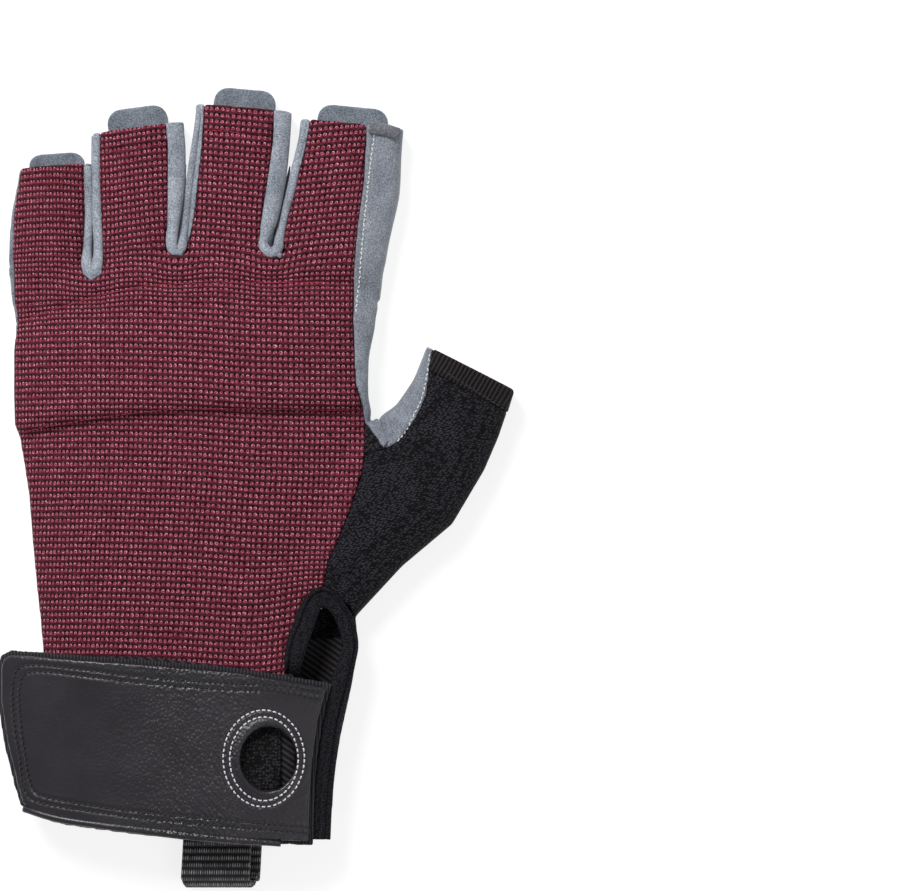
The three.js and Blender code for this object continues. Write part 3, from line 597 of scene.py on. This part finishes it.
knit_surface = surface_of(knit)
for gap, outline in rolls.items():
    fourchette = sewn_panel("fourchette_" + gap + "_panel", "fourchette_" + gap,
                            grain=0.4, evening=12, rounding=3, puff=0.15)
    put_points(fourchette.data, pull(points_of(fourchette.data)[0], crotch_pulls))
    finish_piece(fourchette, suede, "suede", "fourchette_" + gap)
    line = smooth_line(outline, 0.5)
    path, ups = lay_path(surface_of(fourchette, knit), line, 40)
    bottom = line[:, 1].min()
    near_crotch = np.exp(-((line[:, 1] - bottom) / crotch_reach) ** 2)
    path[:, 2] += (-roll_sink + crotch_lift * near_crotch) * MM
    roll = band_along("rolled_edge_" + gap, path, ups, line[:, 2] * MM, round_profile(roll_height * MM, 14))
    finish_piece(roll, suede, "suede")
    line = smooth_line(inner_folds[gap], 0.5)
    path = np.column_stack([line[:, :2] * MM, np.full(len(line), fold_level * MM)])
    ups = [Vector((0, 0, 1))] * len(path)
    fold = band_along("inner_fold_" + gap, path, ups, line[:, 2] * MM, round_profile(fold_height * MM, 12))
    finish_piece(fold, suede, "suede")


# The side panel. One piece of suede up the outside of the index finger and round to the palm,
# where it ends in a wide patch. It is topstitched along the knit with a pale thread.

def sew(name, paths, surface, thread, pitch, length, thickness, zigzag=0.0, from_above=True):
    """Rows of separate stitches, each one a short bent thread that dips into the cloth at both ends."""
    corners = []
    faces = []
    plies = []
    shares = (-1.0, -0.62, 0.0, 0.62, 1.0)
    sides = 6
    rings = len(shares)
    for path in paths:
        spots = smooth_line(path, pitch)
        for i, (here, there) in enumerate(zip(spots, spots[1:])):
            middle = (here + there) / 2
            found = meet(surface, middle[0], middle[1], from_above)
            if not found:
                continue
            place, out = found
            if out.dot(Vector((0, 0, 1 if from_above else -1))) < 0:
                out = -out
            way = Vector((*(there - here)[:2], 0))
            way = (way - out * way.dot(out)).normalized()
            side = out.cross(way)
            turn = zigzag * (1 if i % 2 else -1)
            way = (way + side * turn).normalized()
            side = out.cross(way)
            start = len(corners)
            for share in shares:
                rise = thickness * (0.42 - 0.85 * share ** 2)
                radius = thickness / 2 * (0.8 if abs(share) == 1 else 1.0)
                centre = place + (way * share * length / 2 + out * rise) * MM
                for s in range(sides):
                    angle = 2 * math.pi * s / sides
                    corners.append(centre + (side * math.cos(angle) + out * math.sin(angle)) * radius * MM)
                    plies.append(share * length / 2 / (1.6 * thickness) + s / sides)
            faces += tube_faces(rings, sides, start)
    stitches = new_piece(name, corners, faces)
    ply = stitches.data.attributes.new("ply", "FLOAT", "POINT")
    ply.data.foreach_set("value", plies[:len(stitches.data.vertices)])
    stitches.data.materials.append(thread)
    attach(stitches, "root")
    return stitches


def thread_finish(name, light, dark, dark_share):
    thread, add, mix, dress = start_finish(name, 0.6, Sheen_Weight=0.1)
    ply = add("Attribute", {}, out="Fac", attribute_name="ply")
    turn = add("Math", {0: ply}, operation="FRACT")
    share = add("MapRange", {0: turn, 1: dark_share - 0.08, 2: dark_share + 0.08})
    dress(mix(share, dark, light), turn, strength=0.5, depth=0.08)
    return thread


pale_thread = thread_finish("pale_thread", shade(240, 240, 236), shade(150, 158, 150), 0.2)
twisted_thread = thread_finish("twisted_gray_thread", shade(226, 226, 222), shade(36, 38, 42), 0.42)
black_thread = thread_finish("black_thread", shade(26, 26, 29), shade(10, 10, 11), 0.3)
maroon_thread = thread_finish("maroon_thread", shade(176, 34, 58), shade(92, 18, 32), 0.3)

side_seam = [(46.2, 84.1), (45.6, 80.1), (44.9, 74.0), (44.2, 67.4), (43.5, 60.7), (42.9, 54.0), (42.4, 47.5),
             (41.9, 43.5), (41.5, 39.2)]
seam_dent = 0.35
seam_width = 0.7
back_level = 7
side_panel = sewn_panel("index_side_suede", "index_side_panel",
                        grain=0.45, evening=14, rounding=3, puff=0.15)
spots = points_of(side_panel.data)[0]
near = distance_to_line(spots[:, :2] / MM, smooth_line(side_seam, 1.5))
spots[:, 2] -= seam_dent * MM * np.exp(-(near / seam_width) ** 2) * (spots[:, 2] > back_level * MM)
put_points(side_panel.data, pull(spots, index_pulls))
# The side panel is the same blue-gray suede in darker colours: painted shade on the side of the index finger.
side_suede_painted_shade = suede_finish("side_suede_painted_shade", shade(170, 176, 187), shade(126, 132, 142), shade(78, 83, 92))
finish_piece(side_panel, side_suede_painted_shade, "suede", "index_side_panel")
side_surface = surface_of(side_panel)
sew("side_panel_stitches", [side_seam], side_surface, pale_thread, pitch=1.2, length=0.95,
    thickness=0.34, zigzag=0.35)

corner_line = smooth_line([(44.9, 85.3, 1.5), (48.5, 84.9, 1.5), (52.2, 83.9, 1.5)], 0.4)
path, ups = lay_path(side_surface, corner_line, 20)
path[:, 2] += 0.35 * MM
corner = band_along("turned_corner", path, ups, corner_line[:, 2] * MM, round_profile(0.55 * MM, 14))
# The turned corner is the same suede in darker colours: painted shade on the fold.
shaded_suede = suede_finish("turned_corner_painted_shade", shade(138, 140, 148), shade(102, 103, 112), shade(58, 58, 66))
finish_piece(corner, shaded_suede, "suede")


# The back of the thumb and its hem. A black looped stretch knit, turned over at the mouth of
# the thumb and stitched down as a ribbed hem, and sewn to the suede of the thumb's front.

def loop_knit_finish(name, pitch, dark, light, turn, stretch):
    cloth, add, mix, dress = start_finish(name, 0.9, Specular_IOR_Level=0.2)
    spot = add("TexCoord", {}, out="Object")
    turned = add("Mapping", {"Vector": spot, "Rotation": (0.0, 0.0, math.radians(turn)),
                             "Scale": (1.0, stretch, 1.0)})
    loops = add("TexVoronoi", {"Vector": turned, "Scale": 1000.0 / pitch, "Randomness": 0.6})
    fuzz = add("TexNoise", {"Vector": spot, "Scale": 2400.0, "Detail": 2.0})
    mixed = add("Math", {0: fuzz, 1: 0.35, 2: loops}, operation="MULTIPLY_ADD")
    share = add("MapRange", {0: mixed, 1: 0.78, 2: 0.22})
    dress(mix(share, dark, light), share, strength=1.0, depth=0.3)
    return cloth


stretch_knit = loop_knit_finish("black_loop_knit", 0.88, shade(4, 4, 6), shade(66, 64, 73),
                                turn=24, stretch=1.7)
thumb_back = sewn_panel("thumb_back_panel", "thumb_back", grain=0.45, evening=16, rounding=3, puff=0.15)
spots = points_of(thumb_back.data)[0]
reach_under_cuff(spots, 1.2)
put_points(thumb_back.data, spots)
finish_piece(thumb_back, stretch_knit, "stretch_knit", "thumb_back")

hem_way = math.degrees(math.atan2(-11.5, 19.5))
hem_knit, add, mix, dress = start_finish("ribbed_hem", 0.9, Specular_IOR_Level=0.2)
spot = add("TexCoord", {}, out="Object")
turned = add("Mapping", {"Vector": spot, "Rotation": (0.0, 0.0, math.radians(-hem_way))})
ribs = add("TexWave", {"Vector": turned, "Scale": 300.0, "Distortion": 1.5, "Detail": 2.0}, out="Fac")
fuzz = add("TexNoise", {"Vector": spot, "Scale": 2200.0, "Detail": 2.0})
height = add("Math", {0: fuzz, 1: 0.7, 2: ribs}, operation="MULTIPLY_ADD")
share = add("MapRange", {0: height, 1: 0.4, 2: 1.3})
dress(mix(share, shade(12, 10, 11), shade(52, 46, 48)), height, strength=1.0, depth=0.35)
thumb_hem = sewn_panel("thumb_hem_band", "thumb_hem", grain=0.4, evening=10, rounding=3, puff=0.35)
finish_piece(thumb_hem, hem_knit, "stretch_knit", "thumb_hem")
thumb_surface = surface_of(thumb_back, thumb_hem)
thumb_hem_seam = [(63.2, 24.8), (70.5, 20.2), (78.5, 15.2)]
sew("thumb_hem_stitches", [thumb_hem_seam], thumb_surface, black_thread, pitch=1.3, length=1.1,
    thickness=0.4)
thumb_front_seam = [(60.0, 29.2), (59.2, 23.2), (58.0, 17.9), (56.4, 14.4), (54.1, 9.9), (51.8, 7.0)]
palm_surface = surface_of(palm)
sew("thumb_seam_stitches", [thumb_front_seam], palm_surface, pale_thread, pitch=1.2, length=0.9,
    thickness=0.32, zigzag=0.3)


def sheet_over(name, corners, steps, surface, lift, thickness):
    """A thin sheet between four plan corners that lies on what is under it."""
    a, b, c, d = (np.array(corner, float) for corner in corners)
    grid = np.empty((steps + 1, steps + 1, 3))
    for j in range(steps + 1):
        for i in range(steps + 1):
            u = i / steps
            v = j / steps
            place = (a * (1 - u) + b * u) * (1 - v) + (d * (1 - u) + c * u) * v
            found = highest_near(surface, *place, 1.0)
            level = found[0].z / MM if found else grid[j, i - 1, 2]
            grid[j, i] = (*place, level + lift)
    for _ in range(10):
        grid[1:-1, 1:-1, 2] = (grid[:-2, 1:-1, 2] + grid[2:, 1:-1, 2] + grid[1:-1, :-2, 2]
                               + grid[1:-1, 2:, 2]) / 4
    faces = []
    for j in range(steps):
        for i in range(steps):
            start = j * (steps + 1) + i
            faces.append((start, start + 1, start + steps + 2, start + steps + 1))
    sheet = new_piece(name, [Vector(spot) * MM for spot in grid.reshape(-1, 3)], faces)
    if sheet.data.polygons[0].normal.z < 0:
        sheet.data.flip_normals()
    thick = sheet.modifiers.new("thick", "SOLIDIFY")
    thick.thickness = thickness * MM
    thick.offset = -1.0
    settle(sheet)
    return sheet


thumb_corner = sheet_over("thumb_knit_corner", [(43.8, 11.7), (44.9, 11.0), (48.9, 5.6), (43.8, 4.2)], 16,
                          surface_of(palm, thumb_back, knit), 0.35, 1.2)
finish_piece(thumb_corner, stretch_knit, "stretch_knit")
thumb_fold = sheet_over("thumb_front_fold", [(44.3, 12.0), (46.9, 12.7), (49.6, 7.2), (48.5, 5.7)], 16,
                        surface_of(palm, thumb_back, side_panel, thumb_corner), 0.3, 0.9)
finish_piece(thumb_fold, palm_suede_painted_shade, "suede")


# The cuff. A band of black twill elastic round the wrist, open at a slit in the back whose two
# edges are wrapped in a smooth stretch binding with a rolled edge.

def twill_finish(name, turn):
    twill, add, mix, dress = start_finish(name, 0.85, Specular_IOR_Level=0.3)
    spot = add("TexCoord", {}, out="Object")
    turned = add("Mapping", {"Vector": spot, "Rotation": (0.0, 0.0, math.radians(turn))})
    ribs = add("TexWave", {"Vector": turned, "Scale": 240.0, "Distortion": 0.5, "Detail": 1.0}, out="Fac",
               bands_direction="Y")
    yarn = add("TexNoise", {"Vector": spot, "Scale": 2600.0, "Detail": 2.0})
    height = add("Math", {0: yarn, 1: 0.5, 2: ribs}, operation="MULTIPLY_ADD")
    share = add("MapRange", {0: height, 1: 0.35, 2: 1.3})
    dress(mix(share, shade(10, 9, 11), shade(62, 58, 62)), height, strength=0.9, depth=0.35)
    return twill


cuff_top = -44.5
cuff_dip = 1.1
cuff = sewn_panel("twill_cuff", "cuff_band", grain=0.58, evening=20, rounding=3, puff=0.2)
spots = points_of(cuff.data)[0]
near_top = np.clip((spots[:, 1] / MM - cuff_top + 4) / 4, 0, 1)
on_back = (spots[:, 2] > back_level * MM) * (spots[:, 0] < 26 * MM)
spots[:, 2] -= cuff_dip * MM * near_top * on_back
put_points(cuff.data, spots)
finish_piece(cuff, twill_finish("black_twill_elastic", 35), "twill_elastic", "cuff_band")

binding = loop_knit_finish("smooth_black_binding", 0.55, shade(10, 9, 13), shade(64, 61, 70),
                           turn=60, stretch=1.6)
slit_edge = [
    (25.2, -51.5, 2.1), (26.9, -43.4, 2.65), (28.6, -38.7, 2.65), (30.2, -34.4, 2.6), (31.6, -32.0, 2.4),
    (33.5, -31.6, 2.8), (35.5, -32.6, 2.5), (37.4, -34.9, 2.15), (39.1, -38.4, 2.2), (40.1, -43.4, 2.1),
    (39.4, -47.5, 2.2), (37.7, -53.5, 2.7), (35.4, -63.0, 2.7), (34.1, -71.8, 2.8), (32.9, -81.8, 3.0),
    (32.4, -92.0, 3.0)
]
profile = []
half_steps = 14
for s in range(2 * half_steps + 1):
    across = -1 + s / half_steps
    body = 1.15 * (1 - abs(across) ** 4) ** 0.5
    bead = 0.45 * math.exp(-((across + 0.74) / 0.17) ** 2)
    dent = 0.5 * math.exp(-((across + 0.44) / 0.1) ** 2)
    fall = 0.35 * max(across, 0) ** 2
    profile.append((across, (body + bead - dent - fall) * MM))
for s in range(1, 10):
    profile.append((1 - s / 5, -1.1 * MM * (1 - abs(1 - s / 5) ** 4)))
line = smooth_line(slit_edge, 0.4)
sides = [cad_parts["slit_binding_finger_side"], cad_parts["slit_binding_thumb_side"]]
path, ups = lay_path(surface_of(*sides), line, 90)
path[:, 2] -= 1.0 * MM
turn = int(np.argmax(line[:, 1]))
for side, first, last in (("finger_side", 0, turn + 1), ("thumb_side", turn, len(line))):
    halves = line[first:last, 2] * MM
    strip = band_along("slit_edge_" + side, path[first:last], ups[first:last], halves, profile)
    finish_piece(strip, binding, "binding", "slit_binding_" + side)


# The wrist strap. Black grained leather over a ribbed backing that shows as a thin edge, sewn
# down with two black rows along its border, with an oval hole for a clip.

hole_middle = (20.1, -71.4)
border_rows = [
    [
        (32.8, -54.8), (21.4, -53.1), (9.9, -52.8), (-1.6, -52.0), (-13.1, -51.1), (-24.6, -49.7),
        (-36.0, -48.5), (-41.8, -48.8), (-43.6, -51.1), (-44.2, -56.8), (-43.4, -65.4), (-42.4, -71.2),
        (-41.8, -76.9), (-40.8, -80.6), (-37.2, -82.7), (-24.6, -84.5), (-13.1, -86.0), (-1.6, -87.2),
        (9.9, -88.2), (21.4, -89.2), (30.5, -89.9)
    ],
    [
        (32.2, -56.6), (21.4, -54.8), (9.9, -54.3), (-1.6, -53.5), (-13.1, -52.5), (-24.6, -51.2),
        (-35.4, -50.1), (-40.4, -50.5), (-42.0, -52.6), (-42.5, -56.8), (-41.8, -65.4), (-40.9, -71.2),
        (-40.2, -76.0), (-39.0, -79.3), (-36.0, -81.2), (-24.6, -83.1), (-13.1, -84.6), (-1.6, -85.7),
        (9.9, -86.8), (21.4, -87.8), (30.2, -88.4)
    ],
]
eyelet_rows = []
for (cx, cy, rx, ry), pieces in (((18.8, -71.5, 10.05, 12.0), 50), ((18.9, -71.6, 8.5, 10.4), 42)):
    turns = [2 * math.pi * i / pieces for i in range(pieces + 1)]
    eyelet_rows.append([(cx + rx * math.cos(t), cy + ry * math.sin(t)) for t in turns])

leather, add, mix, dress = start_finish("black_grained_leather", 0.42, Specular_IOR_Level=0.55)
spot = add("TexCoord", {}, out="Object")
pebbles = add("TexVoronoi", {"Vector": spot, "Scale": 1150.0, "Randomness": 1.0}, feature="F1")
fine = add("TexNoise", {"Vector": spot, "Scale": 2400.0, "Detail": 3.0})
creases = add("TexNoise", {"Vector": spot, "Scale": 60.0, "Detail": 4.0, "Roughness": 0.6})
split = add("SeparateXYZ", {0: spot}).node
rising = add("MapRange", {0: split.outputs["X"], 1: -0.024, 2: -0.004, 3: 0.12, 4: 1.0})
falling = add("MapRange", {0: split.outputs["X"], 1: 0.012, 2: 0.024, 3: 1.0, 4: 0.25})
grain = add("Math", {0: rising, 1: falling}, operation="MULTIPLY")
deep = add("Math", {0: pebbles, 1: grain}, operation="MULTIPLY")
height = add("Math", {0: fine, 1: 0.25, 2: deep}, operation="MULTIPLY_ADD")
tone = mix(creases, shade(24, 21, 27), shade(38, 34, 41))
gloss = add("MapRange", {0: creases, 1: 0.35, 2: 0.65, 3: 0.3, 4: 0.42})
dress(tone, height, strength=0.75, depth=0.25, gloss=gloss, invert=True)

strap_pitch = 1.35
strap = sewn_panel("leather_strap", "wrist_strap", grain=0.38, evening=14, rounding=2, puff=0.05)
spots, normals = points_of(strap.data)
plan = spots[:, :2] / MM
on_top = normals[:, 2] > 0.3
pucker = 0.5 + 0.5 * np.sin(2 * math.pi * (plan[:, 0] + plan[:, 1]) / strap_pitch)
for row in border_rows + eyelet_rows:
    near = distance_to_line(plan, smooth_line(row, 1.0))
    spots[:, 2] -= (0.1 + 0.16 * pucker) * MM * np.exp(-(near / 0.45) ** 2) * on_top
    spots[:, 2] += 0.06 * MM * pucker * np.exp(-((near - 0.8) / 0.4) ** 2) * on_top
from_hole = np.hypot((plan[:, 0] - hole_middle[0]) / 7, (plan[:, 1] - hole_middle[1]) / 8) * 7.5 - 7.5
spots[:, 2] += 0.3 * MM * np.exp(-((from_hole - 0.8) / 0.7) ** 2)
strap_pulls = [(-45.2, -78.6, 1.4, 0.0, 4.0, 6.0), (-40.0, -87.5, 0.0, 1.5, 5.0, 3.5)]
put_points(strap.data, pull(spots, strap_pulls))
finish_piece(strap, leather, "leather", "wrist_strap")
strap_surface = surface_of(strap)
sew("strap_border_stitches", border_rows, strap_surface, black_thread, pitch=strap_pitch, length=1.05,
    thickness=0.5)
white_thread = thread_finish("white_thread", shade(238, 236, 242), shade(176, 174, 184), 0.25)
sew("eyelet_stitches", eyelet_rows, strap_surface, white_thread, pitch=1.38, length=1.0, thickness=0.4)

ribbed_backing, add, mix, dress = start_finish("ribbed_backing", 0.7, Specular_IOR_Level=0.3)
spot = add("TexCoord", {}, out="Object")
ribs = add("TexWave", {"Vector": spot, "Scale": 370.0, "Distortion": 0.6, "Detail": 1.0}, out="Fac")
dress(mix(ribs, shade(10, 9, 12), shade(56, 54, 60)), ribs, strength=0.8, depth=0.25)
backing = sewn_panel("strap_backing_sheet", "strap_backing", grain=0.48, evening=12, rounding=3, puff=0.05)
put_points(backing.data, pull(points_of(backing.data)[0], strap_pulls))
finish_piece(backing, ribbed_backing, "binding", "strap_backing")

lower_edge = smooth_line([(-41.0, -84.4, 0.9), (-32.5, -86.6, 1.0), (-22.5, -88.0, 1.0), (-12.1, -89.2, 1.1),
                          (5.5, -91.2, 1.1), (23.0, -92.6, 0.8)], 0.5)
path, ups = lay_path(surface_of(backing, strap), lower_edge, 30)
path[:, 2] -= 0.5 * MM
edge_roll = band_along("strap_lower_edge", path, ups, lower_edge[:, 2] * MM, round_profile(0.95 * MM, 12))
finish_piece(edge_roll, leather, "leather")

loop_pile = loop_knit_finish("black_loop_pile", 0.8, shade(4, 4, 5), shade(58, 57, 62), turn=0, stretch=1.0)
cuff_surface = surface_of(cuff)
pile = sheet_over("loop_pile_patch", [(12.2, -80.5), (23.0, -80.5), (23.0, -62.5), (12.2, -62.5)], 14,
                  cuff_surface, 0.6, 0.5)
finish_piece(pile, loop_pile, "binding")


# The webbing. A ribbed black pull strap runs down the palm side of the cuff and turns back in
# a loop below it, and two short loops of a finer tape hang beside it.

webbing, add, mix, dress = start_finish("ribbed_black_webbing", 0.55, Specular_IOR_Level=0.4)
in_weave = add("Attribute", {}, out="Vector", attribute_name="weave")
in_rib = add("VectorMath", {0: in_weave}, operation="FRACTION")
split = add("SeparateXYZ", {0: in_rib}).node
across = add("Math", {0: split.outputs["X"], 1: 0.5}, operation="SUBTRACT")
across = add("Math", {0: across}, operation="ABSOLUTE")
along = add("Math", {0: split.outputs["Y"], 1: 0.5}, operation="SUBTRACT")
along = add("Math", {0: along}, operation="ABSOLUTE")
yarn_rise = add("MapRange", {0: across, 1: 0.42, 2: 0.08}, **soft_step)
rib_rise = add("MapRange", {0: along, 1: 0.42, 2: 0.12}, **soft_step)
cell = add("VectorMath", {0: in_weave}, operation="FLOOR")
per_yarn = add("TexWhiteNoise", {"Vector": cell})
strength = add("MapRange", {0: per_yarn, 1: 0.0, 2: 1.0, 3: 0.3, 4: 1.0})
shine = add("Math", {0: yarn_rise, 1: rib_rise}, operation="MULTIPLY")
glint = add("Math", {0: shine, 1: strength}, operation="MULTIPLY")
dress(mix(glint, shade(10, 10, 12), shade(168, 168, 174)), shine, strength=0.8, depth=0.2)


steps_a_rib = 6


def woven_tape(name, path, sideways, width, thickness, rib, yarn):
    """A ribbed tape along a path of points. A rib and a yarn are as wide as given, in millimetres."""
    line = smooth_line(path, rib / steps_a_rib)
    corners = []
    weaves = []
    half = width / 2
    rim = [(-1, 0), (-0.985, 0.7)] + [(-0.95 + 1.9 * i / 20, 1) for i in range(21)] + [(0.985, 0.7), (1, 0)]
    profile = rim + [(across, -up) for across, up in rim[-2:0:-1]]
    sideways = Vector(sideways)
    for i, point in enumerate(line):
        way = Vector(line[min(i + 1, len(line) - 1)] - line[max(i - 1, 0)]).normalized()
        up = sideways.cross(way).normalized()
        ridge = 0.5 + 0.5 * math.cos(2 * math.pi * i / steps_a_rib)
        depth = thickness / 2 * (0.6 + 0.4 * ridge)
        for across, rise in profile:
            spot = Vector(point) + sideways * (across * half) + up * rise * depth
            corners.append(spot * MM)
            weaves += [across * half / yarn, i / steps_a_rib + 0.5, 0.0]
    tape = new_piece(name, corners, tube_faces(len(line), len(profile)))
    weave = tape.data.attributes.new("weave", "FLOAT_VECTOR", "POINT")
    weave.data.foreach_set("vector", weaves[:3 * len(tape.data.vertices)])
    return tape


def folded_path(start, tip, end, low, high, hold):
    """The places along the glove and above the table of a tape that runs down and turns back up."""
    radius = (high - low) / 2
    points = [(start, low), ((start + tip) / 2, low), (tip + radius, low)]
    for i in range(1, 8):
        angle = -math.pi / 2 - math.pi * i / 8
        points.append((tip + radius + radius * math.cos(angle), low + radius + radius * math.sin(angle)))
    return points + [(tip + radius, high), ((tip + end) / 2, (high + hold) / 2), (end, hold)]


ply_shift = 2.4
pull_line = []
for i, (y, z) in enumerate(folded_path(-44.0, -104.0, -72.6, 0.75, 7.4, 4.6)):
    shift = ply_shift if i < 3 else ply_shift * max(0.0, (9 - i) / 7)
    pull_line.append((7.2 + 0.05 * (y + 84) + shift, y, z))
pull_tape = woven_tape("pull_strap_tape", pull_line, (1, 0, 0), width=17.2, thickness=1.5, rib=1.8,
                       yarn=0.57)
finish_piece(pull_tape, webbing, "webbing", "pull_strap")

thumb_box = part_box("hang_loop_thumb_side")
thumb_loop_x = (thumb_box[0][0] + thumb_box[1][0]) / 2 / MM
loop_start = -77.0
loop_tip = -87.6
turned_line = folded_path(loop_start, loop_tip, loop_start, 0.95, 4.6, 4.4)
loop_line = [(thumb_loop_x, y, z) for y, z in turned_line]
short_loop = woven_tape("hang_loop_thumb_side_tape", loop_line, (1, 0, 0), width=10.2, thickness=1.1,
                        rib=1.1, yarn=0.6)
finish_piece(short_loop, webbing, "webbing", "hang_loop_thumb_side")

edge_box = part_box("hang_loop_little_finger_side")
edge_middle = [(low + high) / 2 / MM for low, high in zip(*edge_box)]
turned_line = folded_path(loop_start, loop_tip, loop_start, 0.0, 7.0, 7.0)
edge_line = [(edge_middle[0] - (across - 3.6), y, edge_middle[2]) for y, across in turned_line]
edge_loop = woven_tape("hang_loop_little_finger_side_tape", edge_line, (0, 0, 1), width=5.8,
                       thickness=1.1, rib=1.1, yarn=0.6)
finish_piece(edge_loop, webbing, "webbing", "hang_loop_little_finger_side")


# The pull tabs. A thick tab of darker suede is sewn inside the mouth of each finger and stands
# out of it to be gripped when the glove comes off.

tab_suede = suede_finish("dark_gray_suede", shade(150, 158, 168), shade(112, 120, 130), shade(66, 72, 80))
for finger in ("pinky", "ring", "middle", "index"):
    tab = sewn_panel("grip_tab_" + finger, "pull_tab_" + finger,
                     grain=0.32, evening=4, rounding=4, puff=0.05)
    finish_piece(tab, tab_suede, "tab_suede", "pull_tab_" + finger)


# The last threads. The hems of the finger mouths and the two folds of the back are caught down
# in a maroon thread, and the palm is quilted in a twisted gray one.

hem_rows = [
    [(-42.6, 71.4), (-34.1, 71.8), (-26.8, 71.0)],
    [(-22.3, 78.1), (-17.4, 80.0), (-6.4, 81.4)],
    [(2.4, 84.8), (9.4, 84.5), (16.8, 83.1), (20.3, 82.8)],
    [(29.4, 79.8), (36.2, 80.0), (43.6, 80.0)],
]
fold_rows = [
    [(x, y) for x, y in fold_over_knuckles if abs(x) < 45],
    [(-42.0, 9.4), (-31.3, 11.6), (-15, 14.0), (1.4, 15.2), (34, 14.9), (43, 14.6)],
]
sew("maroon_hem_stitches", hem_rows + fold_rows, knit_surface, maroon_thread, pitch=1.5, length=1.2,
    thickness=0.22)
patch_row = [
    (49.5, 81.9), (48.6, 73.2), (47.2, 64.3), (45.4, 54.9), (42.8, 50.5), (39.6, 46.0), (35.0, 42.0),
    (28.4, 38.8), (21.9, 35.1), (17.5, 32.8), (14.6, 29.2), (13.8, 25.5), (14.6, 19.6), (16.4, 16.4),
    (18.2, 15.6), (33.0, 15.3), (38.4, 11.6), (41.2, 11.8)
]
thumb_row = [
    (73.2, 19.0), (68.0, 7.9), (64.5, -2.7), (56.2, -11.8), (45.6, -19.2), (34.7, -27.7), (27.1, -35.1),
    (21.8, -42.0)
]
mouth_rows = []
mouth_step = 1.3
for left, right, drop in (((-42.2, 74.9), (-27.2, 74.9), 2.6), ((-21.0, 83.4), (-5.6, 84.9), 2.6),
                          ((3.0, 88.4), (20.6, 87.0), 2.6), ((30.0, 83.4), (46.0, 83.6), 2.6),
                          ((60.6, 30.0), (74.6, 19.6), 2.4)):
    for step in (mouth_step, mouth_step + drop):
        mouth_rows.append([(left[0], left[1] - step), (right[0], right[1] - step)])
side_row = [(-40.5, 43.6), (-42.0, 41.0), (-40.9, 31.2)]
below_surface = surface_of(palm, side_panel)
palm_rows = quilt_lines + [patch_row, thumb_row, side_row] + mouth_rows
sew("quilting_stitches", palm_rows, below_surface, twisted_thread, pitch=1.9, length=1.7, thickness=0.42,
    from_above=False)
